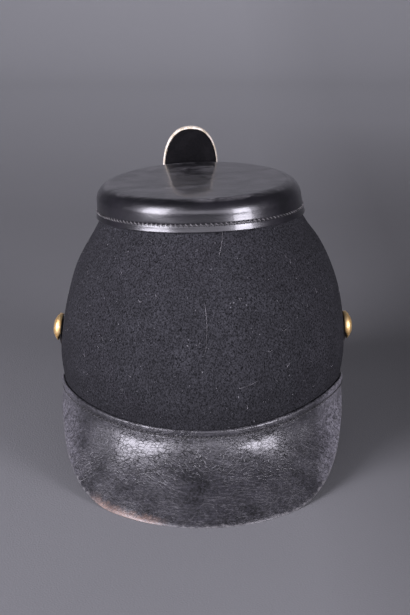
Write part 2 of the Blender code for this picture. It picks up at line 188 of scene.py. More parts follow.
# Columns: share of the height, side, rear and front spread from neck to rim, sway.
BODY_SECTIONS = (
    (0.00, 1.00, 1.00, 1.00, -0.10),
    (0.05, 1.035, 1.02, 1.01, -0.10),
    (0.11, 1.080, 1.04, 1.015, -0.10),
    (0.18, 1.115, 1.04, 1.00, -0.04),
    (0.26, 1.103, 1.01, 0.97, 0.05),
    (0.33, 1.065, 0.955, 0.925, 0.12),
    (0.40, 1.011, 0.88, 0.87, 0.22),
    (0.50, 0.897, 0.76, 0.75, 0.36),
    (0.60, 0.732, 0.59, 0.60, 0.26),
    (0.70, 0.483, 0.37, 0.39, 0.10),
    (0.78, 0.222, 0.17, 0.18, -0.28),
    (0.82, 0.113, 0.09, 0.08, -0.38),
    (0.86, 0.063, 0.04, 0.04, -0.55),
    (0.92, 0.030, 0.01, 0.01, -0.85),
    (1.00, 0.00, 0.00, 0.00, -1.20),
)


def oval_normal(angle, half_width, reach):
    """Outward direction in plan of x = a cos u, y = b sin u, which is (cos u / a, sin u / b)."""
    return unit(np.stack([np.cos(angle) / half_width, np.sin(angle) / reach], axis=-1))


def body_point(angle, share, outset=0.0):
    """Point on the cloth: an oval at an angle, at a share of the height, moved out level.

    x = a cos u + sway, y = b sin u, z = rim + share (top - rim), where the top is a plane
    that slopes down to the front and to the wearer's left."""
    angle, share, outset = np.broadcast_arrays(angle, share, outset)
    side, to_rear, to_front, swing = (smooth_column(BODY_SECTIONS, column, share) for column in (1, 2, 3, 4))
    half_width = NECK_HALF_WIDTH + (RIM_HALF_WIDTH - NECK_HALF_WIDTH) * side
    rear = NECK_REAR + (RIM_REAR - NECK_REAR) * to_rear
    front = NECK_FRONT + (RIM_FRONT - NECK_FRONT) * to_front
    reach = np.where(np.sin(angle) < 0, rear, front)
    plan = np.stack([half_width * np.cos(angle) + SIDE_SWAY * swing, reach * np.sin(angle)], axis=-1)
    plan = plan + oval_normal(angle, half_width, reach) * outset[..., None]
    x, y = plan[..., 0], plan[..., 1]
    z = RIM_HEIGHT + share * (BODY_HEIGHT - NOD_SLOPE * y + ROLL_SLOPE * x)
    return np.stack([x, y + AXIS_Y, z], axis=-1)


def body_frame(angle, share):
    """Unit steps on the cloth round it and up it, the outward normal, and the steps' lengths.

    Both steps are central differences, and the normal is their cross product."""
    tiny = 1e-4
    along = (body_point(angle + tiny, share) - body_point(angle - tiny, share)) / (2 * tiny)
    up = (body_point(angle, share + tiny) - body_point(angle, share - tiny)) / (2 * tiny)
    lengths = np.linalg.norm(along, axis=-1), np.linalg.norm(up, axis=-1)
    return unit(along), unit(up), unit(np.cross(along, up)), *lengths


def share_below_top(depth):
    """Share of the body's height that lies a depth below the crown's top."""
    return 1 - depth / BODY_HEIGHT


print("Oval at the rim, outside:", 2 * RIM_HALF_WIDTH, "by", RIM_REAR + RIM_FRONT)

# %% [markdown]
# ## A short way to write materials
#
# A finish is built from a few patterns: noise for colour and grain, a bump for relief, and
# a shader that ties them together. Writing each node and link in full takes many lines, so
# one helper makes a node and fills its sockets, with a number or with another node's
# output. A socket knows the tree it belongs to, as id_data, so only the first node of a
# chain has to be told. All patterns read Object coordinates, so they stay on the piece.

# %% Helpers for materials
def start_material(name, **sockets):
    """New material with its shader's sockets set. Returns the material and its node tree."""
    material = bpy.data.materials.new(name)
    material.use_nodes = True
    shader = material.node_tree.nodes["Principled BSDF"]
    for socket, value in sockets.items():
        shader.inputs[socket.replace("_", " ")].default_value = value
    return material, material.node_tree


def finish_material(material, tone, rough=None, skin=None):
    """Links a colour and, where they are given, a roughness and a relief to the shader."""
    tree = material.node_tree
    shader = tree.nodes["Principled BSDF"]
    for socket, value in (("Base Color", tone), ("Roughness", rough), ("Normal", skin)):
        if value is not None:
            tree.links.new(value, shader.inputs[socket])
    return material


def add(tree, kind, sockets=None, **settings):
    """New node. Each socket gets a value, or a link where the value is another node's output."""
    made = tree.nodes.new("ShaderNode" + kind)
    for setting, value in settings.items():
        setattr(made, setting, value)
    for socket, value in (sockets or {}).items():
        if isinstance(value, bpy.types.NodeSocket):
            tree.links.new(value, made.inputs[socket])
        else:
            made.inputs[socket].default_value = value
    return made


def place(tree, stretch=(1, 1, 1), turn=(0, 0, 0), shift=(0, 0, 0)):
    """Object coordinates, in metres, stretched, turned and moved."""
    coordinates = add(tree, "TexCoord").outputs["Object"]
    sockets = {"Vector": coordinates, "Scale": stretch, "Rotation": turn, "Location": shift}
    return add(tree, "Mapping", sockets).outputs["Vector"]


def noise(tree, scale, detail=3.0, roughness=0.5, distortion=0.0, **where):
    """Grey noise around 0.5, with 1/scale metres to a feature, stretched, turned and moved."""
    sockets = {"Vector": place(tree, **where), "Scale": scale, "Detail": detail}
    sockets.update({"Roughness": roughness, "Distortion": distortion})
    return add(tree, "TexNoise", sockets).outputs[0]


def mark(tree, label):
    """Number that the mesh keeps at each point under this label."""
    return add(tree, "Attribute", attribute_name=label).outputs["Fac"]


def near(tree, point, inner, outer):
    """1 within a distance of a point of the cap, falling to 0 at a larger one."""
    coordinates = add(tree, "TexCoord").outputs["Object"]
    sockets = {0: coordinates, 1: point}
    distance = add(tree, "VectorMath", sockets, operation="DISTANCE").outputs["Value"]
    return spread(distance, inner, outer, 1.0, 0.0)


# %% Helpers that go on from a value
def spread(value, from_low, from_high, to_low=0.0, to_high=1.0):
    """A value moved from one range to another, with its ends clamped."""
    sockets = {"Value": value, "From Min": from_low, "From Max": from_high}
    sockets.update({"To Min": to_low, "To Max": to_high})
    return add(value.id_data, "MapRange", sockets).outputs[0]


def maths(operation, first, second=0.0):
    """One operation on two values, of which at least one comes from a node."""
    tree = first.id_data if isinstance(first, bpy.types.NodeSocket) else second.id_data
    return add(tree, "Math", {0: first, 1: second}, operation=operation).outputs[0]


def times(first, second):
    """Product of two values."""
    return maths("MULTIPLY", first, second)


def plus(first, second):
    """Sum of two values."""
    return maths("ADD", first, second)


def minus(first, second):
    """Difference of two values."""
    return maths("SUBTRACT", first, second)


def blend(share, first, second):
    """Mix of two colours by a share from 0 to 1."""
    sockets = {"Factor": share, 6: first, 7: second}
    return add(share.id_data, "Mix", sockets, data_type="RGBA").outputs[2]


def relief(height, distance, strength=1.0, onto=None):
    """Bump from a height between 0 and 1 that stands for a distance in metres."""
    sockets = {"Height": height, "Distance": distance, "Strength": strength}
    if onto is not None:
        sockets["Normal"] = onto
    return add(height.id_data, "Bump", sockets).outputs[0]


# %% [markdown]
# ## Floor, light and camera
#
# The cap stands on a sweep of grey paper that rises behind it, so there is no horizon.
# Two softboxes stand beside the camera, each with a brighter core, as the diffusing cloth
# of a real one glows most in its middle. The left pair is larger, which gives the longer
# highlights and part of the deeper shadow on the right; the rest of that shadow is painted
# on the paper, as is a brightening toward the wall. A wide fill stands behind the camera, and
# a light behind the cap is turned to the wall. Narrowed beams keep hot spots off the floor
# beside them. One light colour gives the whole picture the photograph's bluish cast, so the
# finishes can be mixed as they are. The camera's place was worked out from the photograph,
# from the slopes of the crown and the seams.

# %% Paper sweep
PAPER_HALF_WIDTH = 3.0
PAPER_FRONT, PAPER_BEND, PAPER_RADIUS, PAPER_TOP = -2.2, 1.25, 0.65, 2.6


def grey_paper():
    """Clouded grey paper, with painted light that pales it toward the wall and a painted shadow on its right
    side.
    """
    material, tree = start_material("grey_paper", Roughness=0.9)
    x, y, _ = add(tree, "SeparateXYZ", {0: place(tree)}).outputs
    tone = blend(spread(noise(tree, 2.2, 4.0), 0.3, 0.7), (0.160, 0.162, 0.165, 1), (0.176, 0.178, 0.181, 1))
    # Painted light: the paper's colour pales toward the wall.
    tone = blend(spread(y, 0.55, 1.20), tone, (0.260, 0.264, 0.268, 1))
    # Painted shadow: the paper's colour darkens toward +X, less so toward the wall.
    painted_shadow_side = times(spread(x, 0.06, 0.17, 0.0, 0.55), spread(y, 0.5, 1.0, 1.0, 0.3))
    tone = blend(painted_shadow_side, tone, (0.05, 0.05, 0.05, 1))
    return finish_material(material, tone, skin=relief(noise(tree, 900.0, 3.0), 0.0002))


def paper_sweep():
    """Flat floor, a quarter turn of radius r, and a wall: y = y0 + r sin t, z = r (1 - cos t)."""
    turn = np.linspace(0, math.pi / 2, 40)
    y = np.concatenate([[PAPER_FRONT], PAPER_BEND + PAPER_RADIUS * np.sin(turn), [PAPER_BEND + PAPER_RADIUS]])
    z = np.concatenate([[0.0], PAPER_RADIUS * (1 - np.cos(turn)), [PAPER_TOP]])
    sides = np.array([-PAPER_HALF_WIDTH, PAPER_HALF_WIDTH])
    points = np.stack(np.broadcast_arrays(sides[:, None], y, z), axis=-1)
    index = np.arange(2 * len(y)).reshape(2, len(y))
    faces = np.stack([index[0, :-1], index[1, :-1], index[1, 1:], index[0, 1:]], axis=-1)
    mesh = bpy.data.meshes.new("paper_sweep")
    mesh.from_pydata(points.reshape(-1, 3).tolist(), [], faces.tolist())
    mesh.shade_smooth()
    mesh.materials.append(grey_paper())
    sweep = bpy.data.objects.new("paper_sweep", mesh)
    bpy.context.scene.collection.objects.link(sweep)


paper_sweep()

# %% Softboxes and a dim room
AIM = Vector((0.0015, AXIS_Y, 0.0834))
LIGHT_COLOR = (1.0, 0.962, 1.10)
BEAM_SPREAD = math.radians(120)
BEAM_SHARE = 0.52


def area_light(name, location, way, width, height, power):
    """Rectangular light at a place, with its back turned along a way and unseen by the camera."""
    light = bpy.data.lights.new(name, "AREA")
    light.shape = "RECTANGLE"
    light.size, light.size_y = width, height
    light.energy = power
    light.color = LIGHT_COLOR
    lamp = bpy.data.objects.new(name, light)
    lamp.location = location
    lamp.rotation_euler = way.to_track_quat("Z", "Y").to_euler()
    lamp.visible_camera = False
    bpy.context.scene.collection.objects.link(lamp)
    return light


def softbox(name, azimuth, middle_height, distance, width, height, radiance):
    """Upright light at a bearing from the camera's side, facing the cap's axis.

    An open area light's power is radiance times pi times its area. A narrowed beam gathers
    the same power in its middle, so a share of that power lights the cap as brightly."""
    bearing = math.radians(azimuth)
    way = Vector((math.sin(bearing), -math.cos(bearing), 0.0))
    location = way * distance + Vector((0, 0, middle_height))
    power = BEAM_SHARE * radiance * math.pi * width * height
    area_light(name, location, way, width, height, power).spread = BEAM_SPREAD


softbox("softbox_left", -52, 0.72, 1.12, 0.86, 1.36, 2.4)
softbox("core_left", -51, 0.54, 1.11, 0.62, 0.84, 14.2)
softbox("softbox_right", 50, 0.47, 1.20, 0.74, 0.90, 0.9)
softbox("core_right", 49, 0.33, 1.19, 0.42, 0.54, 18.0)
softbox("fill", 0, 0.55, 1.60, 2.30, 0.64, 2.4)

# %% Light on the paper's back wall
WALL_LIGHT_PLACE = (0, 0.80, 1.15)
WALL_LIGHT_BACK = Vector((0, -1, 0.55))
WALL_LIGHT_WIDTH, WALL_LIGHT_HEIGHT = 1.6, 0.35
WALL_RADIANCE = 6.0
ROOM_COLOR, ROOM_STRENGTH = (0.9, 0.92, 1.0, 1), 0.05

wall_power = WALL_RADIANCE * math.pi * WALL_LIGHT_WIDTH * WALL_LIGHT_HEIGHT
area_light("wall_light", WALL_LIGHT_PLACE, WALL_LIGHT_BACK, WALL_LIGHT_WIDTH, WALL_LIGHT_HEIGHT, wall_power)

world = bpy.data.worlds.new("studio")
world.use_nodes = True
world.node_tree.nodes["Background"].inputs["Color"].default_value = ROOM_COLOR
world.node_tree.nodes["Background"].inputs["Strength"].default_value = ROOM_STRENGTH
bpy.context.scene.world = world
bpy.context.scene.view_settings.view_transform = "Standard"

# %% Camera
CAMERA_DISTANCE = 1.0
CAMERA_ELEVATION = math.radians(18)
FOCAL_PIXELS = 1600
IMAGE_HEIGHT = 615

view = bpy.data.cameras.new("camera")
view.sensor_width = 36
view.lens = FOCAL_PIXELS * view.sensor_width / IMAGE_HEIGHT
camera = bpy.data.objects.new("camera", view)
toward_camera = Vector((0, -math.cos(CAMERA_ELEVATION), math.sin(CAMERA_ELEVATION)))
camera.location = AIM + toward_camera * CAMERA_DISTANCE
camera.rotation_euler = toward_camera.to_track_quat("Z", "Y").to_euler()
bpy.context.scene.collection.objects.link(camera)
bpy.context.scene.camera = camera
print(f"Camera: {view.lens:.1f} mm lens, {CAMERA_DISTANCE} m from the cap")

# %% [markdown]
# ## The body: black wool cloth glued over felt
#
# The real body is stiff felt with a smooth black broadcloth glued on, so it takes no folds,
# only soft hollows where hands have pressed it. Cloth simulation would give folds that
# aren't there. Here the wall is one ring of rows: up the outside, over the top edge, and
# down the felt inside. The hollows only go inward, so that nothing touches the strap.

# %% Wool cloth and felt
AROUND = 288
CLOTH_ROWS, LINING_ROWS = 150, 48
WALL_TOP_DEPTH = 0.0094
EDGE_ROUND = 0.0007
CLOTH_MARGIN, LINING_MARGIN = 0.012, 0.02
HOLLOW_DEPTH = 0.0007


def cloth_hollow(angle, share):
    """Depth of the soft hollows: three slow waves round and up the cloth, kept at or above 0.

    It fades out near the rim's flange and under the crown's band."""
    wave = np.sin(2 * angle + 7.1 * share + 0.6) * np.cos(5.3 * share - angle + 0.8)
    wave = wave + 0.6 * np.sin(3 * angle - 11 * share + 2.1) + 0.35 * np.sin(7 * angle + 17 * share + 4.0)
    fade = ease(0.10, 0.24, share) * (1 - ease(0.70, 0.84, share))
    return HOLLOW_DEPTH * fade * np.clip(0.5 + 0.32 * wave, 0, 1)


def wool_cloth():
    """Black broadcloth: a nap of fine upright fibres, some of them paler, and painted shade toward the rim.
    """
    material, tree = start_material(
        "wool_cloth", Roughness=1.0, Sheen_Weight=0.006, Sheen_Roughness=0.5, Specular_IOR_Level=0.05)
    fibre = noise(tree, 1500.0, 2.0, 0.6, 0.4, stretch=(1, 1, 0.62))
    fuzz = noise(tree, 1050.0, 2.0, 0.6, 0.3, turn=(0.3, 0.4, 0.2), stretch=(1, 1, 0.8))
    patch = noise(tree, 60.0, 4.0, 0.6, shift=(0.31, 0.12, 0.4))
    tone = blend(spread(fibre, 0.38, 0.62), (0.0045, 0.0045, 0.005, 1), (0.030, 0.030, 0.0336, 1))
    tone = blend(spread(fuzz, 0.48, 0.66, 0.0, 0.65), tone, (0.047, 0.047, 0.0526, 1))
    tone = blend(spread(patch, 0.40, 0.66, 0.25, 0.0), tone, (0.008, 0.008, 0.0085, 1))
    # Painted shade: the cloth's colour darkens toward the rim, by the peaks.
    height = add(tree, "SeparateXYZ", {0: place(tree)}).outputs["Z"]
    tone = blend(spread(height, 0.02, 0.08, 0.45, 0.0), tone, (0.008, 0.008, 0.0088, 1))
    lint = spread(noise(tree, 900.0, 1.0, stretch=(1, 1, 0.7)), 0.755, 0.79)
    tone = blend(lint, tone, (0.14, 0.14, 0.145, 1))
    return finish_material(material, tone, skin=relief(fuzz, 0.0003, 0.6, onto=relief(fibre, 0.00025, 0.7)))


def felt_inside():
    """Brown-black felt: matted fibres without a sheen."""
    material, tree = start_material("felt_inside", Roughness=1.0)
    matted = noise(tree, 420.0, 5.0, 0.7, 0.6)
    tone = blend(spread(matted, 0.3, 0.7), (0.014, 0.013, 0.013, 1), (0.040, 0.036, 0.034, 1))
    skin = relief(matted, 0.0006)
    return finish_material(material, tone, skin=skin)


def build_body():
    """Rows of (share, outset): up the cloth, over two rounded edges, down the felt.

    The margins are the shares of the height between a rounded edge and the next row."""
    top = share_below_top(WALL_TOP_DEPTH)
    quarter = np.linspace(0, math.pi / 2, 5)
    tuck = EDGE_ROUND * (1 - np.sin(quarter)) / BODY_HEIGHT
    inset = EDGE_ROUND * (1 - np.cos(quarter))
    cloth_rows = np.linspace(CLOTH_MARGIN, top - CLOTH_MARGIN, CLOTH_ROWS)
    cloth_share = np.concatenate([tuck[::-1], cloth_rows, top - tuck])
    cloth_outset = np.concatenate([-inset[::-1], np.zeros(CLOTH_ROWS), -inset])
    felt_rows = np.linspace(top - LINING_MARGIN, LINING_MARGIN, LINING_ROWS)
    felt_share = np.concatenate([top - tuck[::-1], felt_rows, tuck])
    felt_outset = -FELT + np.concatenate([inset[::-1], np.zeros(LINING_ROWS), inset])
    share = np.concatenate([cloth_share, felt_share])[:, None]
    outset = np.concatenate([cloth_outset, felt_outset])[:, None]
    angle = circle(AROUND)[None, :]
    is_cloth = np.arange(len(share)) < len(cloth_share)
    points = body_point(angle, share, outset - cloth_hollow(angle, share) * is_cloth[:, None])
    slots = np.repeat(np.where(is_cloth, 0, 1), AROUND)
    return surface("body_cloth", points, [wool_cloth(), felt_inside()], ring_rows=True, slots=slots)


fit(build_body(), "black_cloth", "body")

# %% [markdown]
# ## The crown: one skin of glossy leather
#
# The top is a single piece of black leather, wetted, stretched over the block, turned down
# over the body and sewn with waxed thread near its edge. The leather sinks a little along
# the thread. The grid runs from the middle of the underside, out round the lower edge, up
# the band, over the rounded corner and back to the middle of the top, so both poles close.

# %% Crown leather
CROWN_LEATHER = 0.0020
CROWN_ROUND = 0.0084
BAND_DEPTH_REAR = 0.0182
BAND_DEPTH_FRONT = 0.0228
CROWN_STITCH_RISE = 0.0044
CROWN_STITCHES = 134
TOP_RINGS = 30
DISH_DEPTH = 0.0008
FURROW_WIDTH = 0.0007
CROWN_FURROW = 0.00028
BAND_SWELL = 0.00016
ROWS_BELOW_CORNER, ROWS_PAST_CORNER = 30, 12


def band_edge(angle):
    """Share of the body's height at the band's lower edge, deeper at the front."""
    middle = (BAND_DEPTH_FRONT + BAND_DEPTH_REAR) / 2
    swing = (BAND_DEPTH_FRONT - BAND_DEPTH_REAR) / 2
    return share_below_top(middle + swing * np.sin(angle))


def crown_face(angle, outset, corner, side_rows, turn_rows, top_rows):
    """One face of the crown from its lower edge to the middle of the top.

    Side: t from edge to corner. Corner: a quarter turn, inset r (1 - cos u), up r sin u.
    Top: rings shrunk toward their centre in the sloping plane."""
    edge, start = band_edge(angle), share_below_top(CROWN_ROUND)
    side = body_point(angle, edge + (start - edge) * side_rows[:, None], outset)
    turn = np.linspace(0, math.pi / 2, turn_rows + 1)[1:, None]
    share = share_below_top(CROWN_ROUND - corner * np.sin(turn))
    over = body_point(angle, share, outset - corner * (1 - np.cos(turn)))
    rim = over[-1]
    centre = rim.mean(axis=0)
    shrink = np.linspace(1, 0, top_rows + 1)[1:-1, None, None]
    return np.concatenate([side, over, centre + (rim - centre) * shrink])


def stitch_holes(tree, low, high, reach):
    """1 in the holes of a row of stitches, midway between two of them, and 0 around."""
    beat = maths("ABSOLUTE", minus(maths("FRACT", mark(tree, "stitch_phase")), 0.5))
    return times(spread(beat, low, high), spread(mark(tree, "stitch_distance"), 0.0004, reach, 1.0, 0.0))


def crown_leather():
    """Polished black leather: smeared dust on the level top, pebble grain, sunk stitch holes with painted
    shade in them.
    """
    material, tree = start_material(
        "crown_leather", Coat_Weight=0.4, Coat_Roughness=0.10, Specular_IOR_Level=0.55)
    cloud = noise(tree, 42.0, 5.0, 0.6, 0.6, stretch=(1, 1.6, 1.5))
    smear = noise(tree, 110.0, 5.0, 0.68, 0.8, stretch=(0.9, 1.7, 3.0), turn=(0.2, 0.1, 0.3))
    tone = blend(spread(cloud, 0.35, 0.7), (0.004, 0.004, 0.005, 1), (0.011, 0.010, 0.013, 1))
    level = add(tree, "SeparateXYZ", {0: add(tree, "NewGeometry").outputs["Normal"]}).outputs["Z"]
    dust = times(spread(smear, 0.40, 0.62), spread(cloud, 0.36, 0.60))
    dust = times(dust, spread(level, 0.80, 0.99))
    tone = blend(dust, tone, (0.145, 0.142, 0.146, 1))
    hole_and_painted_shade = stitch_holes(tree, 0.36, 0.47, 0.0011)
    # Painted shade: the stitch holes are darkened in colour, as well as sunk by the relief.
    tone = blend(times(hole_and_painted_shade, 0.85), tone, (0.002, 0.002, 0.002, 1))
    rough = plus(spread(smear, 0.35, 0.7, 0.29, 0.38), times(dust, 0.12))
    sockets = {"Vector": place(tree), "Scale": 1300.0, "Randomness": 1.0}
    skin = relief(add(tree, "TexVoronoi", sockets).outputs["Distance"], 0.00005, 0.3)
    skin = relief(smear, 0.00030, 0.3, onto=skin)
    skin = relief(minus(1.0, hole_and_painted_shade), 0.0006, 0.8, onto=skin)
    return finish_material(material, tone, plus(rough, times(hole_and_painted_shade, 0.5)), skin)


def stitch_marks(along, distance, count):
    """Marks for holes: where each point lies in the row of stitches, and how far from it.

    The first and last columns are left out, because the count starts again there."""
    away = np.broadcast_to(distance, np.broadcast_shapes(distance.shape, along.shape)).copy()
    away[:, [0, -1]] = 1.0
    return {"stitch_phase": np.broadcast_to(along * count, away.shape), "stitch_distance": away}


def build_crown():
    """Underside and outside in one grid, with a shallow furrow sunk along the stitching.

    The band swells in slow waves: sin(3u) cos(5u) + 0.6 sin(11u). The top is dished by
    depth (1 - s^2)^2, s from 1 at its rim to 0 at its middle."""
    angle = circle(AROUND)[None, :] + math.pi / 2
    quarter = np.linspace(math.pi / 2, 0, 5)
    lip = EDGE_ROUND * (1 - np.cos(quarter))
    outer_rows = np.concatenate([0.05 * (1 - np.sin(quarter)), np.linspace(0.07, 1, 40)])
    rise = (share_below_top(CROWN_ROUND) - band_edge(angle)) * outer_rows[:, None] * BODY_HEIGHT
    inner_rows = np.array([0.03, 0.2, 0.4, 0.6, 0.8, 1.0])
    inner = crown_face(angle, GAP, CROWN_ROUND - CROWN_LEATHER, inner_rows, 6, 12)
    outer = crown_face(angle, GAP + CROWN_LEATHER, CROWN_ROUND, outer_rows, 16, TOP_RINGS)
    sunk = np.zeros(outer.shape[:2])
    sunk[:len(rise)] = CROWN_FURROW * np.exp(-(((rise - CROWN_STITCH_RISE) / FURROW_WIDTH) ** 2))
    sunk[:len(lip)] += lip[:, None]
    swell = np.sin(3 * angle + 0.4) * np.cos(5 * angle + 1.0) + 0.6 * np.sin(11 * angle + 2.0)
    swollen = slice(len(rise) - ROWS_BELOW_CORNER, len(rise) + ROWS_PAST_CORNER)
    sunk[swollen] += BAND_SWELL * swell * np.hanning(ROWS_BELOW_CORNER + ROWS_PAST_CORNER)[:, None]
    outward = oval_normal(angle, NECK_HALF_WIDTH, NECK_REAR)
    outer[..., :2] -= sunk[..., None] * outward
    shrink = np.linspace(1, 0, TOP_RINGS + 1)[1:-1, None]
    outer[-len(shrink):, :, 2] -= DISH_DEPTH * (1 - shrink**2) ** 2
    points = np.concatenate([inner[::-1], outer])
    distance = np.full(points.shape[:2], 1.0)
    distance[len(inner):len(inner) + len(rise)] = np.abs(rise - CROWN_STITCH_RISE)
    marks = stitch_marks(np.arange(AROUND)[None, :] / AROUND, distance, CROWN_STITCHES)
    return surface("crown_leather", points, crown_leather(), fill_ends=True, marks=marks)


fit(build_crown(), "crown_leather", "crown")

# %% [markdown]
# ## The two peaks: lacquered leather that has crazed
#
# Each peak is a crescent of thick leather. Its inner edge was wetted, turned up and sewn
# flat to the body as a flange, and the rest bends outward from that crease and stands on
# its rim. One cut through the peak is a line: down the flange, round the crease and out to
# the rim. The leather's thickness is laid to both sides of that line and rounds off at its
# ends. Sweeping the cut from tip to tip gives the crescent.

# %% Peak sizes
PEAK_LEATHER = 0.0022
FLANGE_HEIGHT = 0.0050
REAR_OVERHANG = 0.0396
FRONT_OVERHANG = 0.0404
TIP_ANGLE = math.radians(5)
TIP_SKIRT = 0.0020
TIP_LEATHER = 0.0015
TIP_TAPER = math.radians(12)
QUARTER_LIFT_LEFT = 0.0025
QUARTER_LIFT_RIGHT = 0.0058
OVERHANG_POWER = 2.3
RIM_LANDING = 0.90
PEAK_STITCHES = 96
PEAK_COLUMNS = 260
END_STEPS = (0.0, 0.06, 0.25, 0.6)
TIP_THINNING = (0.35, 0.80)
FLANGE_POINTS, SKIRT_POINTS = 8, 44
REAR, FRONT = -math.pi / 2, math.pi / 2

# Columns: share of the skirt's fall, share of its reach.
SKIRT_SECTION = (
    (0.00, 0.000),
    (0.12, 0.030),
    (0.25, 0.105),
    (0.40, 0.240),
    (0.60, 0.475),
    (0.80, 0.735),
    (1.00, 1.000),
)


def flange_height(angle, wrap):
    """Height of the sewn flange. At the rear it climbs at each quarter by lift sin^2(pi w^0.6).

    Here w is the share of the way from a tip to the peak's middle."""
    lift = np.where(np.cos(angle) > 0, QUARTER_LIFT_RIGHT, QUARTER_LIFT_LEFT)
    climb = lift * np.sin(math.pi * (wrap / math.pi * 2) ** 0.6) ** 2
    return FLANGE_HEIGHT + np.where(np.sin(angle) > 0, 0, climb)


def peak_lines(middle, overhang, turn):
    """Outer line of every cut, as (out, up) from the body's foot: flange, crease, skirt.

    The wrap w runs from 0 at either tip to a quarter turn at the peak's middle. The foot's
    reach is overhang sin(w)^2.3, and its height falls from the tip's to 0 where the peak
    lands. Returns the lines, the leather there, the plan's origin and way, the rim's height."""
    wrap = np.minimum(turn, math.pi - turn)
    angle = middle - math.pi / 2 + turn
    reach = np.sin(wrap)
    leather = TIP_LEATHER + (PEAK_LEATHER - TIP_LEATHER) * np.minimum((wrap - TIP_ANGLE) / TIP_TAPER, 1)
    seated = (GAP + leather)[:, None]
    landing = np.minimum(reach / RIM_LANDING, 1)
    rim_height = np.minimum(RIM_HEIGHT * (1 - landing**1.8) ** 1.4, RIM_HEIGHT - TIP_SKIRT)
    seat = body_point(angle, np.zeros_like(angle))
    outward = oval_normal(angle, RIM_HALF_WIDTH, np.where(np.sin(angle) < 0, RIM_REAR, RIM_FRONT))
    flange_top = flange_height(angle, wrap)[:, None] / BODY_HEIGHT
    on_body = body_point(angle[:, None], flange_top * np.linspace(1, 0, FLANGE_POINTS + 1)[:-1])
    flange_out = ((on_body - seat[:, None])[..., :2] * outward[:, None]).sum(-1) + seated
    t = np.linspace(0, 1, SKIRT_POINTS)[None, :]
    skirt_out = seated + (overhang * reach**OVERHANG_POWER)[:, None] * smooth_column(SKIRT_SECTION, 1, t)
    skirt_up = RIM_HEIGHT + (rim_height[:, None] - RIM_HEIGHT) * t
    out = np.concatenate([flange_out, skirt_out], axis=1)
    up = np.concatenate([on_body[..., 2], skirt_up], axis=1)
    return np.stack([out, up], axis=-1), leather, seat, outward, rim_height


def soften(line, passes=5):
    """Rounds a line's corners: each inner point moves to 1/4 before + 1/2 itself + 1/4 after."""
    for _ in range(passes):
        inner = (line[:, :-2] + 2 * line[:, 1:-1] + line[:, 2:]) / 4
        line = np.concatenate([line[:, :1], inner, line[:, -1:]], axis=1)
    return line


def side_of(line):
    """Unit direction at each point of a line, turned a quarter turn to its inner side."""
    step = unit(np.gradient(line, axis=1))
    return np.stack([step[..., 1], -step[..., 0]], axis=-1)


def out_and_back(first, second):
    """Ring of columns: along the first side, and back along the second without its ends."""
    return np.concatenate([first, second[:, ::-1][:, 1:-1]], axis=1)


def peak_grid(middle, overhang):
    """Closed cut at every step from tip to tip, and marks for stitches and wear.

    The cut is the middle line plus and minus half the leather, which falls to 0 over a
    quarter circle at both ends: h = r sqrt(1 - (1 - s/r)^2)."""
    turn = np.linspace(TIP_ANGLE, math.pi - TIP_ANGLE, PEAK_COLUMNS)
    turn = np.concatenate([turn[:1], turn[:1], turn, turn[-1:], turn[-1:]])
    line, leather, seat, outward, rim_height = peak_lines(middle, overhang, turn)
    line = soften(line)
    half = leather[:, None] / 2
    centre = line + side_of(line) * half[..., None]
    steps = (half * np.array(END_STEPS))[..., None]
    top_end = centre[:, :1] + unit(centre[:, 1] - centre[:, 0])[:, None] * steps
    rim_end = centre[:, -1:] + unit(centre[:, -2] - centre[:, -1])[:, None] * steps
    centre = np.concatenate([top_end, centre[:, 2:-2], rim_end[:, ::-1]], axis=1)
    run = run_along(centre)
    from_end = np.minimum(run, run[:, -1:] - run)
    height = half * np.sqrt(1 - (1 - np.clip(from_end / half, 0, 1)) ** 2)
    for step, thinning in enumerate(TIP_THINNING):
        height[[step, -1 - step]] *= thinning
    side = side_of(centre) * height[..., None]
    ring = out_and_back(centre - side, centre + side)
    ring[..., 1] = np.maximum(ring[..., 1], rim_height[:, None])
    plan = seat[:, None, :2] + ring[..., :1] * outward[:, None]
    points = np.concatenate([plan, ring[..., 1:]], axis=-1)
    return points, turn, run[:, -1], out_and_back(run, run), centre.shape[1]


def smooth_noise(points, seed, size):
    """Slow waves through space: six sines with seeded directions and a wavelength near size."""
    source = np.random.default_rng(seed)
    total = np.zeros(points.shape[:-1])
    for _ in range(6):
        way = unit(source.normal(size=3)) * (2 * math.pi / size) * source.uniform(0.7, 1.4)
        total += np.sin(points @ way + source.uniform(0, 6.28))
    return total / 3


# %% Marks of age on the lacquer
def cracks(tree, points):
    """Crazing: the edges of bent cells, broken up, strong round the points and faint elsewhere."""
    waver = add(tree, "TexNoise", {"Vector": place(tree), "Scale": 260.0}).outputs[1]
    shift = add(tree, "VectorMath", {0: waver, 1: (0.0022, 0.0022, 0.0022)}, operation="MULTIPLY").outputs[0]
    stretched = place(tree, stretch=(1, 1, 2.0), turn=(0.0, 0.75, 0.0))
    bent = add(tree, "VectorMath", {0: stretched, 1: shift}, operation="ADD").outputs[0]
    cells = add(tree, "TexVoronoi", {"Vector": bent, "Scale": 300.0}, feature="DISTANCE_TO_EDGE")
    crack = spread(cells.outputs["Distance"], 0.0, 0.10, 1.0, 0.0)
    crack = times(crack, spread(noise(tree, 190.0, 3.0, 0.6, shift=(0.2, 0.1, 0)), 0.40, 0.60))
    where = spread(noise(tree, 34.0, 2.0), 0.52, 0.70, 0.05, 0.4)
    for point in points:
        where = maths("MAXIMUM", where, near(tree, point, 0.010, 0.026))
    return times(crack, where)


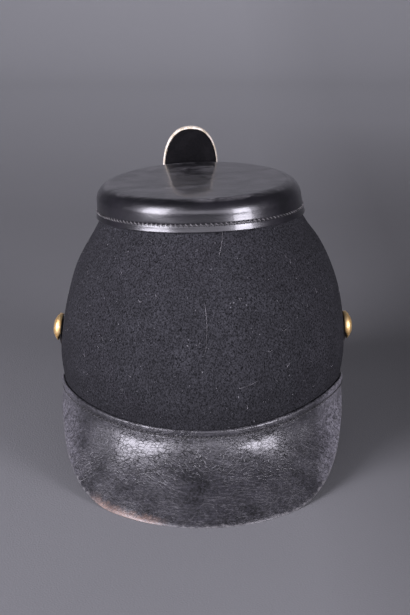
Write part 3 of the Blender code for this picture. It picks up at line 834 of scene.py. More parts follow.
def scratches(tree):
    """Thin lines two ways, each where a stretched noise crosses 0.5."""
    first = noise(tree, 300.0, 2.0, 0.4, 0.25, stretch=(0.25, 1, 3.0), turn=(0.0, 0.7, 0.2))
    second = noise(tree, 220.0, 2.0, 0.4, 0.25, stretch=(0.25, 1, 3.4), turn=(0.0, -0.9, 0.1))
    lines = [maths("ABSOLUTE", minus(streak, 0.5)) for streak in (first, second)]
    return maths("MAXIMUM", *(spread(line, 0.0, 0.018, 1.0, 0.0) for line in lines))


def chalk(tree):
    """Chalky bloom at both ends of a peak, by the place across it."""
    across = add(tree, "SeparateXYZ", {0: place(tree)}).outputs["X"]
    return plus(spread(across, -0.070, -0.081, 0, 0.45), spread(across, 0.066, 0.079, 0, 0.85))


# %% Peak leather
def peak_leather(name, crazing, worn):
    """Thick black lacquer gone dull: grey dust, scratches, crazed patches and a worn rim.

    crazing and worn are points of the cap round which the lacquer cracks or rubs through."""
    material, tree = start_material(name, Coat_Weight=0.3, Coat_Roughness=0.16, Specular_IOR_Level=0.75)
    cloud = noise(tree, 48.0, 6.0, 0.62, 0.5, stretch=(1, 1, 1.6))
    fine = noise(tree, 330.0, 5.0, 0.72, 0.3, stretch=(1, 1, 1.4))
    speck = noise(tree, 950.0, 3.0, 0.7, 0.4, turn=(0.2, 0.3, 0.4))
    tone = blend(spread(cloud, 0.36, 0.68), (0.004, 0.004, 0.0045, 1), (0.020, 0.0195, 0.0225, 1))
    tone = blend(spread(fine, 0.47, 0.66, 0.0, 0.5), tone, (0.034, 0.033, 0.040, 1))
    tone = blend(spread(speck, 0.49, 0.64, 0.0, 0.42), tone, (0.046, 0.044, 0.054, 1))
    chalky = chalk(tree)
    patchy = times(spread(speck, 0.38, 0.60, 0.2, 1.0), spread(fine, 0.40, 0.58, 0.25, 1.0))
    tone = blend(times(chalky, patchy), tone, (0.256, 0.248, 0.276, 1))
    crack = cracks(tree, crazing)
    tone = blend(times(crack, 0.95), tone, (0.003, 0.003, 0.003, 1))
    scratch = times(scratches(tree), spread(cloud, 0.38, 0.60))
    tone = blend(times(scratch, plus(times(chalky, 0.8), 0.35)), tone, (0.200, 0.195, 0.200, 1))

    ragged = plus(mark(tree, "rim_distance"), times(minus(fine, 0.5), 0.010))
    rim = spread(ragged, 0.0002, 0.0016, 1.0, 0.0)
    tone = blend(times(rim, 0.8), tone, (0.120, 0.116, 0.118, 1))
    for point in worn:
        rubbed = times(near(tree, point, 0.008, 0.020), spread(ragged, 0.0010, 0.0055, 1.0, 0.0))
        rubbed = times(rubbed, spread(speck, 0.36, 0.56, 0.25, 1.0))
        tone = blend(rubbed, tone, (0.180, 0.118, 0.094, 1))
    hole_and_painted_shade = stitch_holes(tree, 0.34, 0.46, 0.0012)
    # Painted shade: the stitch holes are darkened in colour, as well as sunk by the relief.
    tone = blend(times(hole_and_painted_shade, 0.85), tone, (0.002, 0.002, 0.002, 1))

    rough = plus(spread(speck, 0.3, 0.72, 0.32, 0.50), times(rim, 0.15))
    rough = plus(rough, times(crack, 0.2))
    crease = noise(tree, 230.0, 4.0, 0.62, 0.8, stretch=(1, 1, 2.6), turn=(0.0, 0.75, 0.0))
    skin = relief(speck, 0.00018, 0.42)
    skin = relief(fine, 0.00024, 0.34, onto=skin)
    skin = relief(crease, 0.00060, 0.45, onto=skin)
    skin = relief(cloud, 0.0010, 0.40, onto=skin)
    skin = relief(minus(1.0, crack), 0.00050, 1.0, onto=skin)
    skin = relief(minus(1.0, hole_and_painted_shade), 0.0006, 0.8, onto=skin)
    return finish_material(material, tone, rough, skin)


# %% Build both peaks
STITCH_LINE_BELOW_FLANGE = 0.0042
PEAK_FURROW = 0.00025
WAVE_HEIGHT = 0.0005
WAVE_SIZE = 0.034
WAVE_START, WAVE_FULL, WAVE_END = 0.006, 0.014, 0.006


def build_peak(name, middle, overhang, material, seed):
    """Peak from its grid, with slow waves of the outside and a furrow along the stitching.

    The waves grow between two distances below the flange's top and end short of the rim."""
    points, turn, full, down, half_count = peak_grid(middle, overhang)
    full = full[:, None]
    outside = np.zeros(points.shape[1])
    outside[1:half_count - 1] = 1
    below_seam = down - STITCH_LINE_BELOW_FLANGE
    furrow = PEAK_FURROW * np.exp(-((below_seam / FURROW_WIDTH) ** 2))
    on_skirt = ease(WAVE_START, WAVE_FULL, down) * (1 - ease(full - WAVE_END, full, down))
    wave = WAVE_HEIGHT * on_skirt * smooth_noise(points, seed, WAVE_SIZE)
    normal = np.cross(np.gradient(points, axis=0), np.gradient(points, axis=1))
    normal = normal / np.maximum(np.linalg.norm(normal, axis=-1, keepdims=True), 1e-12)
    outward = points[:, 10] - points[:, -10]
    normal = normal * np.sign((normal[:, 10] * outward).sum(-1))[:, None, None]
    away_from_tips = ease(0.0, 0.12, np.sin(np.minimum(turn, math.pi - turn)))[:, None]
    points = points + normal * ((wave - furrow) * outside * away_from_tips)[..., None]
    points[..., 2] = np.maximum(points[..., 2], 0)
    marks = {
        "stitch_phase": np.broadcast_to(stitch_phase(turn)[:, None], down.shape),
        "stitch_distance": np.where(outside > 0, np.abs(below_seam), 1.0),
        "rim_distance": full - down,
    }
    return surface(name, points, material, fill_ends=True, marks=marks)


def stitch_phase(turn):
    """How many stitches lie between a peak's first tip and a place along it."""
    return PEAK_STITCHES * (turn - TIP_ANGLE) / (math.pi - 2 * TIP_ANGLE)


def skirt_point(middle, overhang, turn, t):
    """Point of a peak's outer line at a turn, a share t down its skirt."""
    line, _, seat, outward, _ = peak_lines(middle, overhang, np.array([turn]))
    out, up = line[0, FLANGE_POINTS + round(t * (SKIRT_POINTS - 1))]
    return (*(seat[0, :2] + out * outward[0]).tolist(), float(up))


rear_crazing = [skirt_point(REAR, REAR_OVERHANG, turn, 0.20) for turn in (1.18, 1.38, 1.95)]
rear_worn = [skirt_point(REAR, REAR_OVERHANG, turn, 1.0) for turn in (1.12, 1.28)]
front_worn = [skirt_point(FRONT, FRONT_OVERHANG, turn, 1.0) for turn in (1.45, 2.1)]
rear_lacquer = peak_leather("rear_peak_leather", rear_crazing, rear_worn)
front_lacquer = peak_leather("front_peak_leather", [], front_worn)
rear_peak = build_peak("rear_peak_leather", REAR, REAR_OVERHANG, rear_lacquer, 11)
front_peak = build_peak("front_peak_leather", FRONT, FRONT_OVERHANG, front_lacquer, 5)
fit(rear_peak, "peak_leather", "rear_peak")
fit(front_peak, "peak_leather", "front_peak")

# %% [markdown]
# ## The chin strap
#
# A narrow strap is buttoned at both sides and stored round the front, lying on the cloth
# just above the front peak. Its section is a thin bar with rounded edges and a creased
# line near each edge. The section is carried along the strap's middle, always turned to
# lie on the cloth, and narrows to a half circle at each end round its button.

# %% Chin strap
STRAP_WIDTH = 0.0140
STRAP_LEATHER = 0.0015
STRAP_ABOVE_FLANGE = 0.0015
STRAP_SWEEP = math.radians(26)
STRAP_CURVE = 3.6
BUTTON_TURN = math.radians(4)
BUTTON_RISE = 0.0322
STRAP_COLUMNS = 420

# Share of the half width across, share of the leather up: round edge, crease, middle.
STRAP_SECTION = (
    (0.995, 0.12), (1.0, 0.35), (0.995, 0.62), (0.975, 0.86), (0.94, 0.97), (0.90, 1.0),
    (0.85, 1.0), (0.80, 0.86), (0.75, 1.0), (0.6, 1.0), (0.3, 1.0), (0.0, 1.0),
)
STRAP_UNDERSIDE = (-0.98, -0.8, -0.5, -0.2, 0.2, 0.5, 0.8, 0.98)


def strap_share(angle):
    """Height of the strap's middle: level, rising to the button by (1 - turn/sweep)^3.6.

    Past the button it runs on straight."""
    level = (FLANGE_HEIGHT + STRAP_ABOVE_FLANGE + STRAP_WIDTH / 2) / BODY_HEIGHT
    button = BUTTON_RISE / BODY_HEIGHT
    from_button = np.minimum(angle, math.pi - angle) - BUTTON_TURN
    fall = np.clip(1 - from_button / STRAP_SWEEP, 0, 1) ** STRAP_CURVE
    past_button = np.clip(-from_button / STRAP_SWEEP, 0, None)
    return level + (button - level) * (fall + STRAP_CURVE * past_button)


def strap_step(angle):
    """Metres that the strap runs round the cloth and climbs it, per radian."""
    _, _, _, along, up = body_frame(angle, strap_share(angle))
    tiny = 1e-3
    climb = (strap_share(angle + tiny) - strap_share(angle - tiny)) / (2 * tiny)
    return along, climb * up, up


def strap_surface(angle, side, half_width, lift):
    """Point beside the strap's middle line, at a share of its half width, lifted off the cloth."""
    run, rise, up = strap_step(angle)
    length = np.hypot(run, rise)
    across = side * half_width
    at_angle = angle - across * rise / length / run
    at_share = strap_share(angle) + across * run / length / up
    normal = body_frame(at_angle, at_share)[2]
    return body_point(at_angle, at_share) + normal * lift[..., None]


def strap_leather():
    """Black harness leather: flattened grain, edges rubbed grey, a dull polish."""
    material, tree = start_material("strap_leather", Roughness=0.4)
    cloud = noise(tree, 120.0, 4.0, 0.6)
    fine = noise(tree, 700.0, 3.0, 0.6)
    tone = blend(spread(cloud, 0.35, 0.7), (0.006, 0.006, 0.007, 1), (0.020, 0.018, 0.020, 1))
    edge = mark(tree, "from_middle")
    rubbed = times(spread(edge, 0.86, 1.0), spread(fine, 0.35, 0.65))
    tone = blend(times(rubbed, 0.6), tone, (0.070, 0.062, 0.058, 1))
    rough = spread(fine, 0.3, 0.7, 0.32, 0.55)
    grain = add(tree, "TexVoronoi", {"Vector": place(tree), "Scale": 1500.0}).outputs["Distance"]
    skin = relief(grain, 0.0001, 0.5)
    skin = relief(cloud, 0.0004, 0.5, onto=skin)
    return finish_material(material, tone, rough, skin)


def build_strap():
    """Grid of cuts along the strap. At each end the half width follows a half circle."""
    end = STRAP_WIDTH / 2
    run, rise, _ = strap_step(np.array([BUTTON_TURN]))
    around_end = end / np.hypot(run, rise)[0]
    first = BUTTON_TURN - around_end * np.cos(np.linspace(0.12, math.pi / 2, 14))
    middle = np.linspace(BUTTON_TURN, math.pi - BUTTON_TURN, STRAP_COLUMNS)[1:-1]
    turn = np.concatenate([first, middle, math.pi - first[::-1]])[:, None]
    past = np.clip(np.maximum(BUTTON_TURN - turn, turn - math.pi + BUTTON_TURN) / around_end, 0, 1)
    narrowing = np.sqrt(1 - past**2)
    section = np.array(STRAP_SECTION)
    mirrored = section[:-1][::-1] * np.array([-1, 1])
    side = np.concatenate([STRAP_UNDERSIDE, section[:, 0], mirrored[:, 0]])[None, :]
    lift = np.concatenate([np.zeros(len(STRAP_UNDERSIDE)), section[:, 1], mirrored[:, 1]])[None, :]
    height = GAP + STRAP_LEATHER * lift * np.ones_like(turn)
    points = strap_surface(turn, side, end * narrowing, height)
    marks = {"from_middle": np.broadcast_to(np.abs(side) * narrowing + past**2, height.shape)}
    return surface("chin_strap_leather", points, strap_leather(), fill_ends=True, marks=marks)


fit(build_strap(), "strap_leather", "chin_strap")

# %% [markdown]
# ## Gilt buttons
#
# Each strap end hangs on a stamped brass button: a rolled rim, a raised ring and a dome.
# Its lip reaches down past the strap's end to the cloth, apart from where the strap leaves.
# A turned shape is one profile spun round an axis, here as a grid of radius times cos and
# sin. The corners of the profile are cut twice, which rounds them as stamping does.

# %% Buttons
BUTTON_RADIUS = 0.0088
BUTTON_HEIGHT = 0.0038
BUTTON_LIP = 0.0016
BUTTON_HOLLOW = 0.0003
SHANK_RADIUS = 0.0022
LIP_DIP = math.radians(-56)
LIP_OPEN = math.radians(88)
LIP_FULL = math.radians(112)
LIP_CLEARANCE = math.radians(10)

# Share of the radius, share of the height.
BUTTON_PROFILE = (
    (1.00, 0.14), (0.93, 0.22), (0.88, 0.19), (0.86, 0.42), (0.75, 0.58), (0.69, 0.54),
    (0.64, 0.70), (0.50, 0.88), (0.28, 0.98),
)


def gilt_brass():
    """Gilding over brass: warm, with paler patches, and brown in the recesses."""
    material, tree = start_material("gilt_brass", Metallic=1.0, Roughness=0.4)
    cloud = noise(tree, 320.0, 4.0, 0.6)
    fine = noise(tree, 1800.0, 3.0, 0.6)
    tone = blend(spread(cloud, 0.35, 0.65), (0.90, 0.58, 0.22, 1), (1.0, 0.78, 0.42, 1))
    hollow = add(tree, "AmbientOcclusion", {"Distance": 0.0012}, samples=8).outputs["AO"]
    tarnish = times(spread(hollow, 0.30, 0.85, 1.0, 0.0), 0.6)
    tone = blend(tarnish, tone, (0.10, 0.055, 0.02, 1))
    rough = spread(fine, 0.3, 0.7, 0.42, 0.60)
    skin = relief(fine, 0.00005, 0.6)
    return finish_material(material, tone, rough, skin)


def round_corners(profile, passes=2):
    """Cuts each corner of a line at a quarter and three quarters of its sides."""
    for _ in range(passes):
        near_start = 0.75 * profile[:-1] + 0.25 * profile[1:]
        near_end = 0.25 * profile[:-1] + 0.75 * profile[1:]
        woven = np.stack([near_start, near_end], axis=1).reshape(-1, profile.shape[1])
        profile = np.concatenate([profile[:1], woven, profile[-1:]])
    return profile


def upright_frame(point, outward, up=(0, 0, 1)):
    """Rows of a frame at a point: Z outward, Y as near up as can be, X across."""
    z = unit(np.array(outward, float))
    x = unit(np.cross(up, z))
    return np.stack([x, np.cross(z, x), z]), np.array(point, float)


def from_frame(local, stand):
    """Local points moved to the cap: x times its X row plus y times Y plus z times Z plus place."""
    rows, place_of = stand
    return local @ rows + place_of


def lip_drop(spin, way):
    """Share of the lip's depth round the button: 0 over the strap, 1 away from it."""
    strap = math.atan2(math.sin(LIP_DIP), way * math.cos(LIP_DIP))
    turn = np.abs((spin - strap + math.pi) % (2 * math.pi) - math.pi)
    return np.clip((turn - LIP_OPEN) / (LIP_FULL - LIP_OPEN), 0, 1)


def build_button(name, turn, way, material, steps=120):
    """Shank, hollow back, lip and domed face as one spun profile: (r cos u, r sin u, h).

    Rows where the profile is the lip's foot drop by the lip's depth times lip_drop(u)."""
    turn, share = np.array(turn), np.array(BUTTON_RISE / BODY_HEIGHT)
    normal = body_frame(turn, share)[2]
    seat = body_point(turn, share) + normal * (2 * GAP + STRAP_LEATHER)
    shank = -(STRAP_LEATHER + GAP)
    inside = (STRAP_WIDTH / 2 + GAP) / math.cos(LIP_CLEARANCE)
    profile = [(SHANK_RADIUS * 0.5, shank), (SHANK_RADIUS, shank), (SHANK_RADIUS, BUTTON_HOLLOW)]
    profile += [(inside, BUTTON_HOLLOW), (inside, 0.0), (BUTTON_RADIUS * 0.97, 0.0)]
    foot = [0, 0, 0, 0, 1, 1] + [0] * (len(BUTTON_PROFILE) + 1)
    profile += [(BUTTON_RADIUS * r, BUTTON_HEIGHT * h) for r, h in BUTTON_PROFILE]
    profile.append((BUTTON_RADIUS * 0.03, BUTTON_HEIGHT))
    rows = round_corners(np.column_stack([profile, foot]))
    spin = circle(steps)[None, :]
    radius, height = rows[:, :1], rows[:, 1:2] - BUTTON_LIP * rows[:, 2:] * lip_drop(spin, way)
    local = np.stack([radius * np.cos(spin), radius * np.sin(spin), height], axis=-1)
    return surface(name, from_frame(local, upright_frame(seat, normal)), material, fill_ends=True)


gilt = gilt_brass()
fit(build_button("button_right_gilt", BUTTON_TURN, 1, gilt), "gilt_brass", "button_right")
fit(build_button("button_left_gilt", math.pi - BUTTON_TURN, -1, gilt), "gilt_brass", "button_left")

# %% [markdown]
# ## The cockade
#
# An oval boss is pinned to the front and rises above the crown. From behind it shows its
# black back and the edge of a rim of metal braid. The boss is a squarish oval,
# x = a cos^(2/p) u and y = b sin^(2/p) u with p = 2.3, carried up a stack of heights. The
# braid is made as on the real one: cords of two wires twisted together, laid side by side.

# %% Cockade's frame and oval
COCKADE_HALF_WIDTH = 0.0170
COCKADE_HALF_HEIGHT = 0.0275
COCKADE_POWER = 2.3
BACKING = 0.0022
BRAID_PAST_BACKING = 0.0011
BRAID_WIDTH = 0.0044
BRAID_DEPTH = 0.0050
FIELD_SEAT = 0.6
FIELD_EDGE = 0.0006
FIELD_CROWN = 0.0022
BACK_ROUND = 0.0005
COCKADE_TURN = math.radians(5.6)
COCKADE_LEAN = math.radians(6)


def cockade_frame():
    """Frame of the boss, read back from its CAD node: its back face lies in the frame's z = 0."""
    out = np.array([-math.sin(COCKADE_TURN), math.cos(COCKADE_TURN), 0.0])
    lean = np.array(Matrix.Rotation(COCKADE_LEAN, 3, Vector(np.cross(out, (0, 0, 1)))))
    rows, _ = upright_frame((0, 0, 0), lean @ out, lean @ np.array([0.0, 0.0, 1.0]))
    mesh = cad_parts["cockade_pad"].data
    flat = np.empty(len(mesh.vertices) * 3)
    mesh.vertices.foreach_get("co", flat)
    local = flat.reshape(-1, 3) @ rows.T
    low, high = local.min(axis=0), local.max(axis=0)
    print("Cockade pad, width, height, depth in mm:", np.round((high - low) * 1000, 1))
    return rows, np.array([(low[0] + high[0]) / 2, (low[1] + high[1]) / 2, low[2]]) @ rows


def oval(half_width, half_height, height, turn):
    """Squarish oval at a height of the cockade's frame. Each size may be a column of values."""
    c, s = np.cos(turn), np.sin(turn)
    x = half_width * np.sign(c) * np.abs(c) ** (2 / COCKADE_POWER)
    y = half_height * np.sign(s) * np.abs(s) ** (2 / COCKADE_POWER)
    return np.stack(np.broadcast_arrays(x, y, height + 0 * turn), axis=-1)


def black_velvet():
    """Black velvet on the boss: a deep black pile with a few greyer patches."""
    material, tree = start_material(
        "black_velvet", Roughness=0.9, Sheen_Weight=0.01, Sheen_Roughness=0.3, Specular_IOR_Level=0.05)
    pile = noise(tree, 1400.0, 3.0, 0.7)
    tone = blend(spread(pile, 0.3, 0.7), (0.0018, 0.0017, 0.002, 1), (0.006, 0.0058, 0.0064, 1))
    patch = spread(noise(tree, 90.0, 3.0, 0.6), 0.5, 0.8, 0.0, 0.4)
    tone = blend(patch, tone, (0.014, 0.013, 0.014, 1))
    return finish_material(material, tone, skin=relief(pile, 0.0003, 0.7))


boss_frame = cockade_frame()
back_size = np.array([COCKADE_HALF_WIDTH, COCKADE_HALF_HEIGHT])
braid_size = back_size + BRAID_PAST_BACKING
field_size = braid_size - BRAID_WIDTH - GAP


def build_boss():
    """Flat back with a rounded edge, the seat of the braid, and the domed field inside it.

    sizes holds the half width and half height of each ring, and levels its height."""
    turn = np.linspace(0, math.pi / 2, 6)
    dome = np.linspace(0, math.pi / 2 - 0.05, 16)
    top = BACKING + BRAID_DEPTH * FIELD_SEAT
    sizes = np.concatenate([
        (back_size - BACK_ROUND) * np.linspace(0.15, 1, 6)[:-1, None],
        back_size - BACK_ROUND * (1 - np.sin(turn))[:, None], [back_size], [field_size, field_size],
        field_size * np.cos(dome)[:, None],
    ])
    levels = np.concatenate([
        np.zeros(5), BACK_ROUND * (1 - np.cos(turn)), [BACKING], [BACKING, top - FIELD_EDGE],
        top + FIELD_CROWN * np.sin(dome),
    ])
    local = oval(sizes[:, :1], sizes[:, 1:], levels[:, None], circle(200)[None, :])
    return surface("cockade_backing", from_frame(local, boss_frame), black_velvet(), fill_ends=True)


fit(build_boss(), "black_velvet", "cockade_pad")

# %% Braid of twisted metal cord
CORD_RADIUS = 0.00078
WIRE_RADIUS = 0.00043
TWISTS = 64
BRAID_SEAT = BACKING + GAP
CORE_INSET, CORE_SUNK = 0.0010, 0.0008

# Inset from the braid's outer edge, rise above its seat.
CORD_PLACES = (
    (CORD_RADIUS, CORD_RADIUS), (CORD_RADIUS, 0.0025), (0.00095, 0.0039),
    (0.0022, BRAID_DEPTH - CORD_RADIUS), (BRAID_WIDTH - 0.00095, 0.0039),
    (BRAID_WIDTH - CORD_RADIUS, 0.0025), (0.0022, CORD_RADIUS * 0.9),
)


def metal_braid():
    """Gold wire braid, faded to straw and pale silver in patches, with small brown specks."""
    material, tree = start_material("gold_bullion", Metallic=0.35, Roughness=0.45)
    cloud = noise(tree, 240.0, 3.0, 0.6)
    fine = noise(tree, 2600.0, 2.0, 0.5)
    tone = blend(spread(cloud, 0.35, 0.65), (0.62, 0.54, 0.40, 1), (0.92, 0.86, 0.76, 1))
    tone = blend(spread(fine, 0.45, 0.7, 0.0, 0.4), tone, (0.30, 0.20, 0.09, 1))
    rough = spread(fine, 0.3, 0.7, 0.35, 0.6)
    skin = relief(fine, 0.00006, 0.6)
    return finish_material(material, tone, rough, skin)


def tube_round(path, radius, sides):
    """Closed tube on a closed path[steps]: two directions across each step, times cos and sin."""
    along = unit(np.roll(path, -1, axis=0) - np.roll(path, 1, axis=0))
    first = unit(np.cross(along, (0.0, 0.0, 1.0)))
    second = np.cross(along, first)
    spin = circle(sides)[None, :, None]
    return path[:, None] + radius * (np.cos(spin) * first[:, None] + np.sin(spin) * second[:, None])


def twisted_cord(inset, height, steps=640, sides=6):
    """Two wires winding round an oval: path + r (cos(nu + k pi) across + sin(nu + k pi) up).

    The turns are picked so that the steps along the oval are even."""
    half_width, half_height = braid_size - inset
    turn = np.linspace(0, 2 * math.pi, 4001)
    length = run_along(oval(half_width, half_height, height, turn))
    even = np.interp(np.linspace(0, length[-1], steps, endpoint=False), length, turn)
    path = oval(half_width, half_height, height, even)
    along = unit(np.roll(path, -1, axis=0) - np.roll(path, 1, axis=0))
    across, up = np.cross(along, (0.0, 0.0, 1.0)), np.array([0.0, 0.0, 1.0])
    wind = np.linspace(0, 2 * math.pi * TWISTS, steps, endpoint=False)[:, None]
    wires = []
    for start in (0.0, math.pi):
        offset = np.cos(wind + start) * across + np.sin(wind + start) * up
        wires.append(tube_round(path + offset * (CORD_RADIUS - WIRE_RADIUS), WIRE_RADIUS, sides))
    return wires


def build_braid():
    """Seven cords round the outer side, the front and the inner side, over a solid core."""
    spin = circle(16)[:, None]
    core_inset = BRAID_WIDTH / 2 - (BRAID_WIDTH / 2 - CORE_INSET) * np.cos(spin)
    bulge = np.sign(np.sin(spin)) * np.abs(np.sin(spin)) ** 0.6
    core_height = BRAID_SEAT + BRAID_DEPTH / 2 + (BRAID_DEPTH / 2 - CORE_SUNK) * bulge
    half_width, half_height = braid_size[0] - core_inset, braid_size[1] - core_inset
    grids = [oval(half_width, half_height, core_height, circle(160)[None, :])]
    for inset, rise in CORD_PLACES:
        grids += twisted_cord(inset, BRAID_SEAT + rise)
    vertices, faces, count = [], [], 0
    for grid in grids:
        index = np.arange(grid[..., 0].size).reshape(grid.shape[:2]) + count
        faces.append(quads(np.vstack([index, index[:1]])))
        vertices.append(from_frame(grid.reshape(-1, 3), boss_frame))
        count += index.size
    points = np.concatenate(vertices)
    return mesh_object("cockade_braid_cords", points, np.concatenate(faces).tolist(), metal_braid())


fit(build_braid(), "gold_bullion", "cockade_braid")

# %% [markdown]
# ## Stitches
#
# The seams are sewn with waxed linen thread in a slanting stitch. One stitch is a short
# arched tube whose ends sink into the leather. The same tube is repeated along each line,
# all stitches at once: place + forward x + sideways y + outward z.

# %% Repeat one stitch along a line
STRAP_STITCH_MARGIN = 0.02


def waxed_thread(name, dark, pale):
    """Linen thread rubbed with wax: fine dark and pale specks, and dirty stretches."""
    material, tree = start_material(name, Roughness=0.6)
    fine = noise(tree, 2400.0, 2.0, 0.6)
    patch = noise(tree, 130.0, 3.0, 0.6)
    tone = blend(spread(fine, 0.3, 0.7), dark, pale)
    tone = blend(spread(patch, 0.44, 0.62, 0.0, 0.85), tone, dark)
    skin = relief(fine, 0.0001, 0.8)
    return finish_material(material, tone, skin=skin)


def stitch_row(points, along, outward, length, radius, arch, slant):
    """Arched tubes along x = s cos(slant), y = s sin(slant), z = arch (1 - (2s/length)^2).

    s runs from minus to plus half the length, and z is sunk by 0.6 of the radius."""
    along, outward = unit(along), unit(outward)
    way = along * math.cos(slant) + np.cross(outward, along) * math.sin(slant)
    s = np.linspace(-0.5, 0.5, 5)[None, :, None]
    height = arch * (1 - (2 * s) ** 2) - radius * 0.6
    middle = points[:, None] + way[:, None] * s * length + outward[:, None] * height
    spin = circle(5)[:, None]
    across = np.cross(outward, way)[:, None, None]
    ring = np.cos(spin) * across + np.sin(spin) * outward[:, None, None]
    thickness = radius * np.array([0.5, 0.95, 1.0, 0.95, 0.5])[:, None, None]
    return capped_tubes(middle[:, :, None] + ring * thickness)


def crown_stitch_line(count, lift):
    """Places, directions and outward normals of the crown's stitches, rise above its edge."""
    angle = (np.arange(count) + 0.5) / count * 2 * math.pi + math.pi / 2
    share = band_edge(angle) + CROWN_STITCH_RISE / BODY_HEIGHT
    along, _, normal, _, _ = body_frame(angle, share)
    return body_point(angle, share, GAP + CROWN_LEATHER + lift), along, normal


def peak_stitch_line(middle, overhang, count, below, lift):
    """Places on a peak's outer line, a distance below the flange's top, at every stitch."""
    turn = TIP_ANGLE + (np.arange(count) + 0.5) / count * (math.pi - 2 * TIP_ANGLE)
    line, _, seat, outward, _ = peak_lines(middle, overhang, turn)
    line = soften(line)
    run = run_along(line)
    picked = np.arange(count)
    after = (run < below).sum(axis=1)
    start, end = run[picked, after - 1], run[picked, after]
    part = ((below - start) / (end - start))[:, None]
    cut = line[picked, after - 1] * (1 - part) + line[picked, after] * part
    across = -side_of(line)[picked, after]
    normal = np.concatenate([outward * across[:, :1], across[:, 1:]], axis=1)
    points = np.concatenate([seat[:, :2] + cut[:, :1] * outward, cut[:, 1:]], axis=1)
    return points + normal * lift, np.gradient(points, axis=0), normal


def strap_stitch_lines(count, side, lift):
    """Places, directions and outward normals of the stitches beside both edges of the strap."""
    first = BUTTON_TURN + STRAP_STITCH_MARGIN
    turn = np.linspace(first, math.pi - first, count)
    normal = body_frame(turn, strap_share(turn))[2]
    rows = []
    for edge in (-side, side):
        points = strap_surface(turn, np.full(count, edge), STRAP_WIDTH / 2, np.full(count, lift))
        rows.append((points, np.gradient(points, axis=0), normal))
    return [np.concatenate(parts) for parts in zip(*rows)]


def sew(name, slot, thread, line, stitch):
    """Makes one row of stitches as a piece, from its line and the sizes of a stitch."""
    vertices, faces = stitch_row(*line, *stitch)
    return fit(mesh_object(name, vertices, faces, thread), slot)


# %% Sew the seams
SUNK = -0.00020
STRAP_STITCHES = 100
STRAP_STITCH_SIDE = 0.80
STRAP_STITCH_RISE = GAP + STRAP_LEATHER * 0.93

# Length, radius, arch and slant of one stitch.
CROWN_STITCH = (0.0028, 0.00042, 0.00060, math.radians(-42))
PEAK_STITCH = (0.0025, 0.00036, 0.00052, math.radians(30))
STRAP_STITCH = (0.0018, 0.00018, 0.00028, math.radians(6))

dark_thread = waxed_thread("dark_thread", (0.008, 0.008, 0.008, 1), (0.060, 0.057, 0.058, 1))
grey_thread = waxed_thread("waxed_thread", (0.018, 0.017, 0.018, 1), (0.150, 0.144, 0.144, 1))
crown_line = crown_stitch_line(CROWN_STITCHES, SUNK)
sew("crown_stitches", "crown_leather", grey_thread, crown_line, CROWN_STITCH)
for peak, middle, overhang in (("rear_peak", REAR, REAR_OVERHANG), ("front_peak", FRONT, FRONT_OVERHANG)):
    line = peak_stitch_line(middle, overhang, PEAK_STITCHES, STITCH_LINE_BELOW_FLANGE, SUNK)
    sew(peak + "_stitches", "peak_leather", dark_thread, line, PEAK_STITCH)
strap_line = strap_stitch_lines(STRAP_STITCHES, STRAP_STITCH_SIDE, STRAP_STITCH_RISE)
sew("strap_stitches", "strap_leather", grey_thread, strap_line, STRAP_STITCH)

# %% [markdown]
# ## Pin, lint and hairs
#
# The cockade's steel pin keeps its CAD shape and gets brushed steel. Black wool gathers
# pale lint and hairs, which say more about its size and age than any colour: each is a
# thin bent tube that lies on the nap.

# %% Steel pin
def pin_steel():
    """Drawn steel wire: fine scratches along it, brown spots of rust."""
    material, tree = start_material("pin_steel", Metallic=1.0, Roughness=0.35)
    spots = noise(tree, 900.0, 4.0, 0.6)
    drawn = noise(tree, 4000.0, 2.0, stretch=(1, 0.1, 1))
    tone = blend(spread(spots, 0.55, 0.7), (0.50, 0.50, 0.52, 1), (0.16, 0.08, 0.04, 1))
    rough = spread(spots, 0.5, 0.7, 0.3, 0.7)
    skin = relief(drawn, 0.00003)
    return finish_material(material, tone, rough, skin)


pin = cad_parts["cockade_pin"]
pin.data.materials.clear()
pin.data.materials.append(pin_steel())

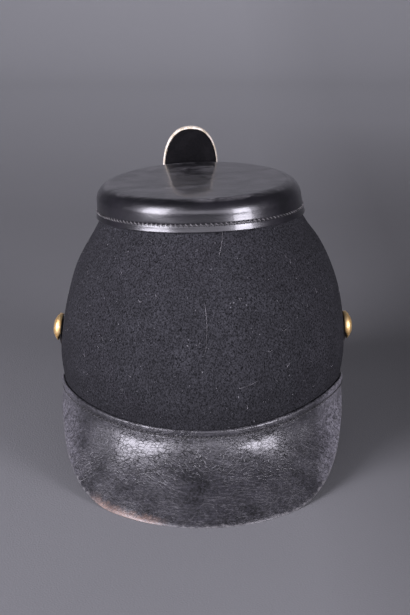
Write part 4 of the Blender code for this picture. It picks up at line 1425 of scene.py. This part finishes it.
# %% Lint and hairs on the cloth
MEAN_RADIUS = 0.075
HAIR_RADIUS = 0.00006
HAIR_LIFT = 0.00004


def pale_fibre():
    """Wool or hair: dusty grey, pale in places."""
    material, tree = start_material("pale_fibre", Roughness=0.7)
    strand = noise(tree, 300.0, 2.0)
    tone = blend(spread(strand, 0.35, 0.65), (0.05, 0.048, 0.05, 1), (0.30, 0.29, 0.30, 1))
    return finish_material(material, tone)


def hair_grid(start, way, bend, length, radius, steps=15, sides=5):
    """Tubes lying on the cloth. The path in (angle, share) is start + way s + bend (s^2 - s)."""
    s = np.linspace(0, 1, steps)[None, :]
    size = length[:, None] * s
    curl = bend[:, None] * (s * s - s) * length[:, None]
    angle = start[:, :1] + (way[:, :1] * size - way[:, 1:] * curl) / MEAN_RADIUS
    share = start[:, 1:] + (way[:, 1:] * size + way[:, :1] * curl) / BODY_HEIGHT
    normal = body_frame(angle, share)[2]
    lift = radius + HAIR_LIFT - cloth_hollow(angle, share)
    path = body_point(angle, share) + normal * lift[..., None]
    across = unit(np.cross(normal, np.gradient(path, axis=1)))[:, :, None]
    spin = circle(sides)[:, None]
    ring = np.cos(spin) * across + np.sin(spin) * normal[:, :, None]
    return path[:, :, None] + ring * radius


def build_hairs(count=90):
    """Three long hairs as in the photograph, and short lint scattered by a seeded draw."""
    source = np.random.default_rng(7)
    start = np.stack([source.uniform(0, 2 * math.pi, count), source.uniform(0.10, 0.80, count)], axis=1)
    heading = source.uniform(0, 2 * math.pi, count)
    length = source.uniform(0.0008, 0.0030, count)
    bend = source.uniform(-1.2, 1.2, count)
    start[:3] = ((-1.42, 0.76), (-1.555, 0.385), (-1.33, 0.22))
    heading[:3] = (1.25, 1.6, 0.3)
    length[:3] = (0.015, 0.025, 0.010)
    bend[:3] = (0.25, 0.12, 0.2)
    way = np.stack([np.cos(heading), np.sin(heading)], axis=1)
    vertices, faces = capped_tubes(hair_grid(start, way, bend, length, HAIR_RADIUS))
    return mesh_object("lint_and_hairs", vertices, faces, pale_fibre())


fit(build_hairs(), "black_cloth")
